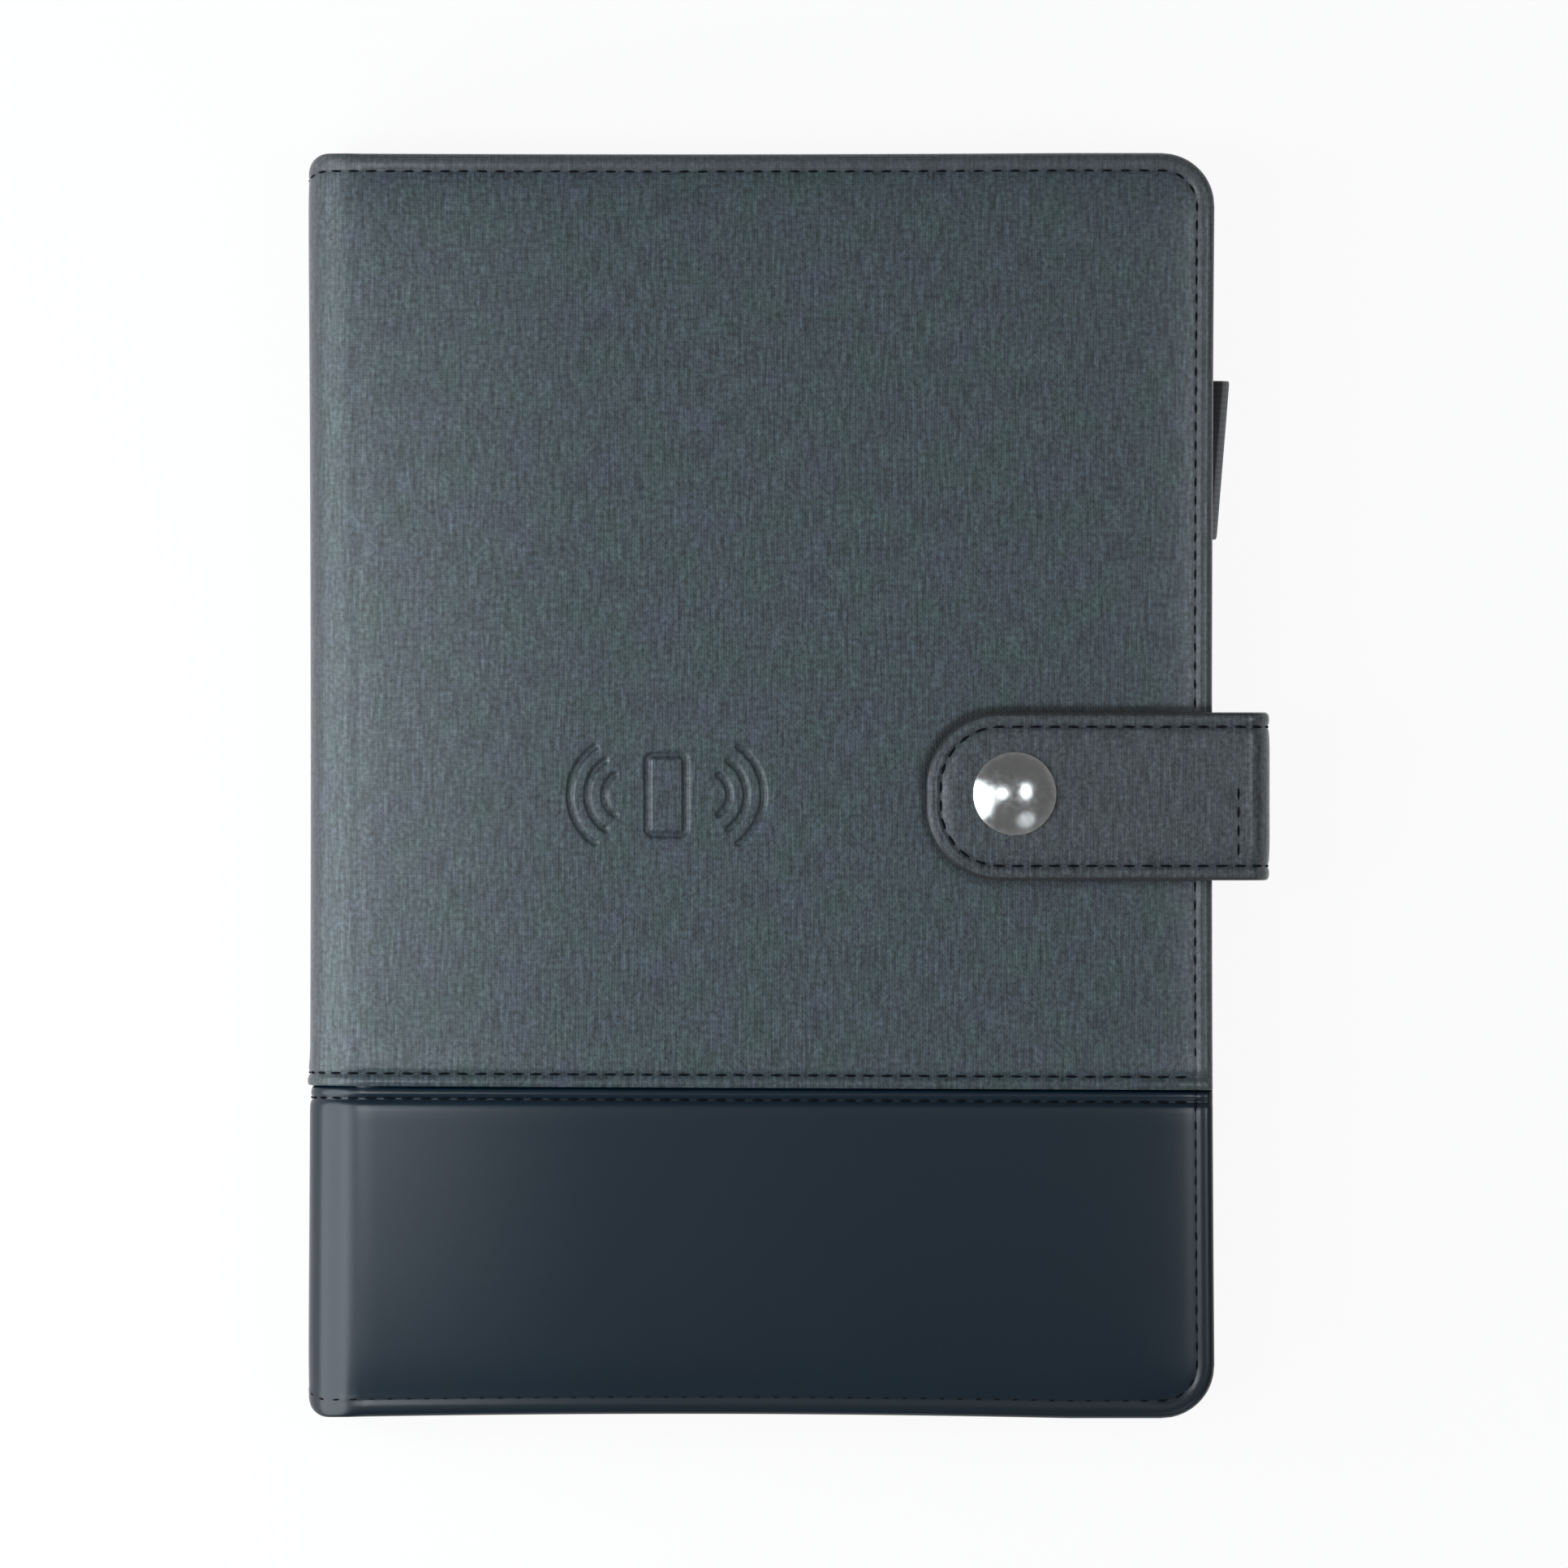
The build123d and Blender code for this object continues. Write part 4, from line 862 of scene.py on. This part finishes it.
def band_sheet(name, back):
    """The smooth band of one cover with its half of the spine, from the seam to the foot of the page."""
    rows, ups = fold_rows(BAND_ROWS, -1)
    inside = steps(SEAM_Y + BAND_ROWS[-1][0], COVER_RIM[-1][0] - TOP, ROW_STEP)[1:-1]
    rows += [(y, -y - TOP, -1) for y in inside] + cover.edge_rows(-1)

    def lift(s, y):
        # Painted shade in the crease beside the fold
        fold_shade = between(y - SEAM_Y, (-0.7, -0.25), (0, 0.35))
        share = between(COVER_S - s, (FORE_R + 1, FORE_R + 6), (0, 1))
        filled = share * between(TOP + y, *FOOT_FILL) if TOP + y < FOOT_FILL[0][-1] else 0.0
        return ups.get(round(y, 4), filled), max(fold_shade, stitch_line_shade(y - SEAM_Y - SEAM_STITCHES[1]))

    return skin_sheet(name, back, cover_columns(False), rows, lift, "smooth_band")


# The lining's line from the middle of the spine round the bend to where it lies flat, x and z
LINING_LINE = (
    [(-81.3, 15.0), (-81.3, 17.0), (-81.3, 19.0), (-81.34, 19.8), (-81.55, 20.4), (-81.85, 21.0)]
    + [
        (BEND_X + LINING_R * math.cos(math.radians(a)), CLOSED_T - BEND_R + LINING_R * math.sin(math.radians(a)))
        for a in range(172, 97, -6)
    ]
    + [(-75.6, 27.7), (-75.0, 27.5), (-74.65, 27.1), (-74.45, 26.7), (-74.2, 26.4), (-73.6, 26.23), (-72.0, 26.2)]
)
LINING_REACH = reaches(LINING_LINE)
LINING_S = LINING_REACH[-1] + RIGHT - LINING_LINE[-1][0]
LINING_STEP = 6.0
# Half the length that the lining's slope is taken over
LINING_NEAR = 0.4


def lining_line(s):
    """The closed front's inside at a distance from the middle of the spine."""
    last = LINING_REACH[-1]
    if s >= last:
        return LINING_LINE[-1][0] + s - last, LINING_LINE[-1][1], 0.0, -1.0, 1.0
    x, z = point_on(LINING_LINE, LINING_REACH, s)
    x0, z0 = point_on(LINING_LINE, LINING_REACH, max(s - LINING_NEAR, 0.0))
    x1, z1 = point_on(LINING_LINE, LINING_REACH, min(s + LINING_NEAR, last))
    size = math.hypot(x1 - x0, z1 - z0)
    return x, z, (z1 - z0) / size, (x0 - x1) / size, 1.0


LINING_RIM = (
    (1.3, 0.5), (1.4, 0.25), (1.6, 0.1), (2.0, 0.03), (2.6, 0.03), (3.0, 0.12), (3.3, 0.2), (3.6, 0.12), (4.2, 0.04),
    (6.0, 0.0), (10.0, 0.0), (18.0, 0.0),
)
lining = Form(lining_line, LINING_S, TOP, 0.0, FORE_R, LINING_RIM, (), 1.0, STRAP_STRIP, BORDER_INSET)


def lining_sheet(name, back):
    """The cloth inside one cover and its half of the spine."""
    last = LINING_RIM[-1][0]
    inside = LINING_REACH[:-1] + steps(LINING_REACH[-1], LINING_S - last, LINING_STEP)[:-1]
    columns = [(s, s - LINING_S) for s in inside] + lining.edge_columns()
    middle = [(y, abs(y) - TOP, math.copysign(1, y)) for y in steps(last - TOP, TOP - last, LINING_STEP)[1:-1]]
    rows = lining.edge_rows(-1)[::-1] + middle + lining.edge_rows(1)
    points, maps, rims, recess_shades = placed(lining, columns, rows)
    points = draw_in(points)
    if back:
        points = across_middle(points, CLOSED_T / 2)
    return mesh_object(name, points, grid_faces(len(rows), len(columns)), "lining", not back, maps)


# ---- stitches


def tube(spots, normals, radii):
    """The points and faces of a closed tube along a short line."""
    points = []
    for i, spot in enumerate(spots):
        ahead = spots[min(i + 1, len(spots) - 1)] - spots[max(i - 1, 0)]
        ahead /= np.linalg.norm(ahead)
        up = normals[i] - ahead * (normals[i] @ ahead)
        up /= np.linalg.norm(up)
        beside = np.cross(ahead, up)
        for k in range(THREAD_SIDES):
            turn = 2 * math.pi * k / THREAD_SIDES
            points.append(spot + radii[i] * (math.cos(turn) * beside + math.sin(turn) * up))
    return points, grid_faces(len(spots), THREAD_SIDES, closed=True)


def stitch_object(name, spot_at, length, start=0.0, mirror=None, shape=None):
    """A row of stitches: short lengths of thread that dip into the skin at both ends. spot_at gives a point and
    the outward normal at a distance along the row, and mirror is the height they are mirrored at."""
    points, faces = [], []
    count = int((length - start) / STITCH_PITCH)
    pitch = (length - start) / max(count, 1)
    for i in range(count):
        begin = start + i * pitch + (pitch - STITCH_L) / 2
        slant = STITCH_SLANT * (random.random() - 0.5)
        spots, normals, radii = [], [], []
        for share in THREAD_SHARES:
            spot, normal = [np.array(part, float) for part in spot_at(begin + share * STITCH_L)]
            ahead = np.array(spot_at(begin + share * STITCH_L + 0.2)[0], float) - spot
            beside = np.cross(normal, ahead / np.linalg.norm(ahead))
            crown = math.sin(math.pi * share)
            rise = THREAD_RISE * crown - THREAD_SUNK
            spots.append(spot + normal * rise + beside * slant * (share - 0.5) * STITCH_L)
            normals.append(normal)
            radii.append(THREAD_R * (0.55 + 0.45 * crown))
        more, sides = tube(spots, normals, radii)
        faces += [tuple(index + len(points) for index in face) for face in sides]
        points += more
    points = shape(np.array(points)) if shape else np.array(points)
    if mirror is not None:
        points = across_middle(points, mirror)
    return mesh_object(name, points, faces, "thread", mirror is not None)


def border_spot(form, inset, depth):
    """Follows a line inside a sheet's edge, from one side of the spine round to the other, and gives its length."""
    radius = form.corner - inset
    straight = form.end_s - form.corner
    arc = math.pi / 2 * radius
    total = 2 * (straight + arc + form.half - form.corner)

    def spot_at(length):
        end = 1 if length < total / 2 else -1
        near = length if end > 0 else max(0.0, total - length)
        if near < straight:
            s, y = near, form.half - inset
        elif near < straight + arc:
            angle = math.pi / 2 - (near - straight) / radius
            s = straight + radius * math.cos(angle)
            y = form.half - form.corner + radius * math.sin(angle)
        else:
            s, y = form.end_s - inset, form.half - form.corner - (near - straight - arc)
        x, z, nx, nz, thick = form.line(s)
        sunk = depth * thick / form.thick
        return (x - nx * sunk, form.mid_y + end * y, z - nz * sunk), (nx, 0.0, nz)

    return spot_at, total


def seam_spot(row):
    """Follows a line of stitches beside the seam, from mid-spine to the fore-edge."""

    def spot_at(s):
        x, z, nx, nz, thick = cover_line(s)
        y = SEAM_Y + SEAM_TILT * x + SEAM_STITCHES[row]
        up = SEAM_STITCH_UP[row] - between(COVER_S - s, cover.insets, cover.depths) * thick / COVER_T
        return (x + nx * up, y, z + nz * up), (nx, 0.0, nz)

    return spot_at


def bend(pieces, corner, side, shares, flip=None):
    """Bakes each piece's placing into its mesh. It works out the ends of a blend between two bodies, from one share
    of a bend to another on the line that cuts its corner, but makes no blend from them. flip is the height that a
    lower bend is mirrored in, doubled."""
    x, y, z = corner
    ends = [(x + side * share / 2, y, z + share / 2) for share in shares]
    if flip is not None:
        ends = [(x, y, flip - z) for x, y, z in reversed(ends)]
    for piece in pieces:
        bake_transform(piece)


# ---- the covers

STANDS_FOR = {
    "front": (
        ("front_fabric_panel", "front_foam_pad", "spine_fabric_panel"),
        ("front_band_panel", "spine_band_panel"),
        ("front_lining", "spine_lining"),
    ),
    "back": (("back_fabric_panel",), ("back_band_panel",), ("back_lining",)),
}

for side in ("front", "back"):
    back = side == "back"
    mirror, shape = (CLOSED_T / 2, back_shape) if back else (None, front_shape)
    sheets = (
        fabric_sheet(f"{side}_fabric_sheet", back),
        band_sheet(f"{side}_band_sheet", back),
        lining_sheet(f"{side}_lining_sheet", back),
    )
    spot_at, length = border_spot(cover, BORDER_INSET, BORDER_STITCH_DEPTH)
    threads = [stitch_object(f"{side}_border_stitches", spot_at, length - 1.0, 1.0, mirror, shape)]
    for row, key in enumerate(("upper", "lower")):
        name, last = f"{side}_seam_stitches_{key}", COVER_S - BORDER_INSET - 1.0
        threads.append(stitch_object(name, seam_spot(row), last, 0.6, mirror, shape))
    spot_at, length = border_spot(lining, BORDER_INSET, INNER_STITCH_DEPTH)
    threads.append(stitch_object(f"{side}_inner_stitches", spot_at, length - 1.0, 1.0, mirror, draw_in))
    fold = CLOSED_T if back else None
    bend((*sheets, *threads), (LEFT, 0, CLOSED_T - BEND_R), 1, BEND_SHARE, fold)
    for sheet, nodes, finish_name in zip(sheets, STANDS_FOR[side], ("woven_skin", "smooth_band", "lining")):
        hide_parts(*nodes)


# ---- the strap

STRAP_CORNER = (STRAP_X, STRAP_Y, STRAP_TOP - STRAP_R)
STRAP_MIDDLE_HALF = 8.6
INNER_RIM = ((1.1, STRAP_T - 0.02), (1.4, STRAP_T), (3.0, STRAP_T), (7.0, STRAP_T))


def strap_sheets(prefix, form, under):
    """The strap's outside and underside on one side of its upright part."""
    last = form.end_s - STRAP_RIM[-1][0]
    inside = stations(0, (STRAP_RISE, 2.0), (STRAP_FLAT_S, 0.5), (last, 2.0))[:-1]
    inside = [(s, s - form.end_s) for s in inside]
    middle = steps(-STRAP_MIDDLE_HALF, STRAP_MIDDLE_HALF, 1.2)[1:-1]
    middle = [(y, abs(y) - STRAP_HALF, math.copysign(1, y)) for y in middle]
    inner = strap_form(form.end_s, form.corner, INNER_RIM, ())
    sheets = []
    for kind, sheet, finish_name in (("skin", form, "strap_skin"), ("underside", inner, "lining")):
        columns = inside + sheet.edge_columns()
        rows = sheet.edge_rows(-1)[::-1] + middle + sheet.edge_rows(1)
        points, maps, rims, recess_shades = placed(sheet, columns, rows)
        if under:
            points = across_middle(points, STRAP_MID)
        name, faces = f"{prefix}_{kind}", grid_faces(len(rows), len(columns))
        if kind == "skin":
            maps = maps * (1, -1) + BACK_MAP if under else maps
            sheets.append(mesh_object(name, points, faces, finish_name, under, maps, rims, recess_shades))
        else:
            sheets.append(mesh_object(name, points, faces, finish_name, not under, maps))
    return sheets


flap_skin, flap_underside = strap_sheets("strap_upper", flap, False)
tongue_skin, tongue_underside = strap_sheets("strap_lower", tongue, True)
spot_at, length = border_spot(flap, STRAP_INSET, STRAP_STITCH_DEPTH)
flap_stitches = stitch_object("strap_upper_stitches", spot_at, length - 0.8, 0.8)
spot_at, length = border_spot(tongue, STRAP_INSET, STRAP_STITCH_DEPTH)
tongue_stitches = stitch_object("strap_lower_stitches", spot_at, STRAP_FLAT_S, 0.8, STRAP_MID)
cross_row = stitch_object(
    "strap_upper_cross_row", lambda length: ((CROSS_ROW_X, CROSS_ROW_Y - length, STRAP_TOP), (0, 0, 1)), CROSS_ROW_L
)
upper = (flap_skin, flap_underside, flap_stitches, cross_row)
bend(upper, STRAP_CORNER, -1, STRAP_SHARE)
lower = (tongue_skin, tongue_underside, tongue_stitches)
bend(lower, STRAP_CORNER, -1, STRAP_SHARE, STRAP_TOP + STRAP_LOW)
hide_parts("strap_flap_fabric", "strap_flap_core", "strap_wrap")
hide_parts("strap_flap_lining")
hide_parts("strap_anchor")


# ---- the pen loop

LOOP_FOOT, LOOP_TOP = 46.0, 75.5
LOOP_X = 76.3
LOOP_OUT = (85.1, 87.5)
LOOP_Z = (3.8, 13.8)
LOOP_R = 3.6
LOOP_WALL = 1.0
# Width of the painted highlight along the band's outer top edge
LOOP_LIT_EDGE = 1.1
LOOP_COUNT = 160
# Round a cut end: distance from it, and share of the wall
LOOP_ENDS = ((0.45, 1.0), (0.2, 0.7), (0.0, 0.35), (0.0, 0.2), (0.25, 0.05), (0.8, 0.0))


def round_plate(x0, x1, y0, y1, radius):
    """Points round an oblong with round corners."""
    corners = ((x1 - radius, y1 - radius), (x0 + radius, y1 - radius))
    corners += ((x0 + radius, y0 + radius), (x1 - radius, y0 + radius))
    turns = [[math.radians(90 * i + 90 * k / 8) for k in range(9)] for i in range(4)]
    return [
        (x + radius * math.cos(turn), y + radius * math.sin(turn))
        for (x, y), arc in zip(corners, turns)
        for turn in arc
    ]


def pen_loop():
    """The elastic loop: a flat band wider at its upper end, with rounded raw edges."""
    stations = [(LOOP_TOP - rise, depth) for rise, depth in LOOP_ENDS]
    stations += [(y, 0.0) for y in steps(LOOP_TOP - 2.5, LOOP_FOOT + 2.5, 2.0)]
    stations += [(LOOP_FOOT + rise, depth) for rise, depth in reversed(LOOP_ENDS)]
    stations += [(y, 1.0) for y in steps(LOOP_FOOT + 0.45, LOOP_TOP - 0.45, 3.0)][1:-1]
    points, maps, edges = [], [], []
    for y, depth in stations:
        wall = depth * LOOP_WALL
        out = LOOP_OUT[0] + (LOOP_OUT[1] - LOOP_OUT[0]) * (y - LOOP_FOOT) / (LOOP_TOP - LOOP_FOOT)
        line = round_plate(LOOP_X + wall, out - wall, LOOP_Z[0] + wall, LOOP_Z[1] - wall, LOOP_R - wall)
        line.append(line[0])
        reach = reaches(line)
        spots = np.linspace(0, reach[-1], LOOP_COUNT, endpoint=False)
        xs, zs = point_on(line, reach, spots)
        points += [(x, y, z) for x, z in zip(xs, zs)]
        maps += [(spot, y) for spot in spots]
        # Where the painted highlight lies: along the band's outer top edge; elsewhere its finish paints it dark as
        # shade
        near = np.interp(xs, (out - LOOP_LIT_EDGE - 0.3, out - LOOP_LIT_EDGE), (0, 1))
        edges += list(near * np.interp(zs, (LOOP_Z[1] - LOOP_R, LOOP_Z[1] - LOOP_R + 0.6), (0, 1)))
    faces = grid_faces(len(stations), LOOP_COUNT, closed=True)
    last = len(points) - LOOP_COUNT
    for j in range(LOOP_COUNT):
        k = (j + 1) % LOOP_COUNT
        faces.append((last + j, last + k, k, j))
    return mesh_object("pen_loop_band", points, faces, "loop_elastic", False, maps, edges)


loop = pen_loop()
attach(loop, "back_cover")
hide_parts("pen_loop")


# ---- the card pockets

POCKET_X = (26.0, 79.3)
POCKET_FOOT = -111.5
POCKETS = (("rear", 92.0, 25.5), ("middle", 80.0, 24.8), ("front", 68.0, 24.1))
POCKET_T = 0.7
POCKET_R = 3.0
POCKET_STITCH_INSET = 2.3
POCKET_STITCH_DEPTH = 0.46
POCKET_RINGS = (
    (0.0, 0.0), (0.0, 0.35), (0.08, 0.55), (0.25, 0.68), (0.6, 0.7), (1.6, 0.66), (2.0, 0.5), (2.3, 0.42), (2.6, 0.5),
    (3.0, 0.64), (4.5, 0.7),
)


def card_pocket(name, height, face_z):
    """One pocket: a thin panel with a turned edge."""
    x0, x1 = POCKET_X
    y0, y1 = POCKET_FOOT, POCKET_FOOT + height
    points = []
    for inset, rise in POCKET_RINGS:
        radius = max(POCKET_R - inset, 0.2)
        outline = round_plate(x0 + inset, x1 - inset, y0 + inset, y1 - inset, radius)
        points += [(x, y, face_z + POCKET_T - rise) for x, y in outline]
    count = len(points) // len(POCKET_RINGS)
    faces = grid_faces(len(POCKET_RINGS), count, closed=True) + [tuple(range(len(points) - count, len(points)))]
    maps = [(x, y) for x, y, z in points]
    return mesh_object(f"card_pocket_{name}_panel", points, faces, "lining", True, maps)


def pocket_stitches(name, height, face_z):
    """The stitches down one side of a pocket, along its foot and up the other side."""
    x0, x1 = POCKET_X[0] + POCKET_STITCH_INSET, POCKET_X[1] - POCKET_STITCH_INSET
    y0, y1 = POCKET_FOOT + POCKET_STITCH_INSET, POCKET_FOOT + height - POCKET_STITCH_INSET
    line = [(x0, y1), (x0, y0), (x1, y0), (x1, y1)]
    reach = reaches(line)

    def spot_at(length):
        return (*point_on(line, reach, length), face_z + POCKET_T - POCKET_STITCH_DEPTH), (0, 0, -1)

    return stitch_object(f"card_pocket_{name}_stitches", spot_at, reach[-1] - 0.2)


for name, height, face_z in POCKETS:
    panel = card_pocket(name, height, face_z)
    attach(panel, "front_cover")
    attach(pocket_stitches(name, height, face_z), "front_cover")
    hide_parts(f"card_pocket_{name}")


# ---- stage, lights and camera

PHOTO_W_MM = 291.05
CAMERA_X, CAMERA_Y = 4.31, 0.30
LENS_MM, SENSOR_MM = 400.0, 36.0
# The sky's strength: from this height up to that, it goes from the one value to the other
SKY_FALL = (0.05, 0.45, 1.0, 0.16)
# The floor lies just under the part's lowest stitches. Its glow is the share of it that is plain white to the camera,
# and the rest shows the shadow
FLOOR_W, FLOOR_Z = 12, -0.00025
FLOOR_COLOUR = (0.95, 0.95, 0.95, 1)
GLOW_SHARE = 0.92
# Each lamp's place, what it points at, its size, in metres, and its power
LAMPS = {
    "key": ((-0.42, -0.08, 0.27), (-0.04, 0.0, 0.03), (0.5, 0.5), 2.35),
    "gloss": ((-0.24, 0.005, 0.8), (-0.06, 0.005, 0.03), (0.2, 0.14), 0.9),
    "between": ((-0.515, 0.0, 0.73), (-0.06, 0.0, 0.03), (0.22, 0.35), 0.42),
    "right": ((0.3, 0.05, 0.8), (0.05, 0.05, 0.03), (0.2, 0.3), 0.85),
    "fill": ((0.25, -0.45, 0.5), (0.0, 0.0, 0.03), (0.3, 0.3), 0.2),
}
LAMP_COLOUR = (0.93, 1.0, 1.06)


def floor():
    """A plain white floor that keeps the object's shadow."""
    bpy.ops.mesh.primitive_plane_add(size=FLOOR_W, location=(0, 0, FLOOR_Z))
    ground = bpy.context.object
    ground.name = "floor"
    nodes = Nodes(bpy.data.materials.new("floor"))
    nodes.tree.nodes.remove(nodes.tree.nodes["Principled BSDF"])
    path = nodes.add("LightPath").outputs
    seen = nodes.math("MAXIMUM", path["Is Camera Ray"], path["Is Glossy Ray"])
    seen = nodes.math("MAXIMUM", seen, path["Is Transmission Ray"])
    matt = nodes.add("BsdfDiffuse", {"Color": FLOOR_COLOUR}).outputs[0]
    glow = nodes.add("Emission", {"Color": (1, 1, 1, 1), "Strength": 1.0}).outputs[0]
    mixed = nodes.add("MixShader", {0: nodes.times(seen, GLOW_SHARE), 1: matt, 2: glow}).outputs[0]
    nodes.feed(nodes.tree.nodes["Material Output"].inputs["Surface"], mixed)
    ground.data.materials.append(nodes.holder)


def sky():
    """Soft light from all round: white along the horizon, dimmer overhead."""
    world = bpy.data.worlds.new("sky")
    nodes = Nodes(world)
    height = nodes.parts(nodes.add("TexCoord").outputs["Generated"])[2]
    fall = nodes.add("MapRange", dict(enumerate((height, *SKY_FALL))), interpolation_type="SMOOTHSTEP")
    background = nodes.tree.nodes["Background"].inputs
    nodes.feed(background["Color"], (1, 1, 1, 1))
    nodes.feed(background["Strength"], fall.outputs[0])
    bpy.context.scene.world = world


floor()
sky()
for name, (place, target, size, watts) in LAMPS.items():
    lamp = bpy.data.lights.new(name, "AREA")
    lamp.shape = "ELLIPSE"
    lamp.color = LAMP_COLOUR
    lamp.size, lamp.size_y = size
    lamp.energy = watts
    holder = in_scene(name, lamp)
    holder.location = place
    holder.rotation_euler = (Vector(target) - Vector(place)).to_track_quat("-Z", "X").to_euler()

camera = bpy.data.cameras.new("camera")
camera.lens = LENS_MM
camera.sensor_width = SENSOR_MM
holder = in_scene("camera", camera)
distance = PHOTO_W_MM * MM * LENS_MM / SENSOR_MM
holder.location = (CAMERA_X * MM, CAMERA_Y * MM, CLOSED_T * MM + distance)
bpy.context.scene.camera = holder
bpy.context.scene.view_settings.view_transform = "Standard"
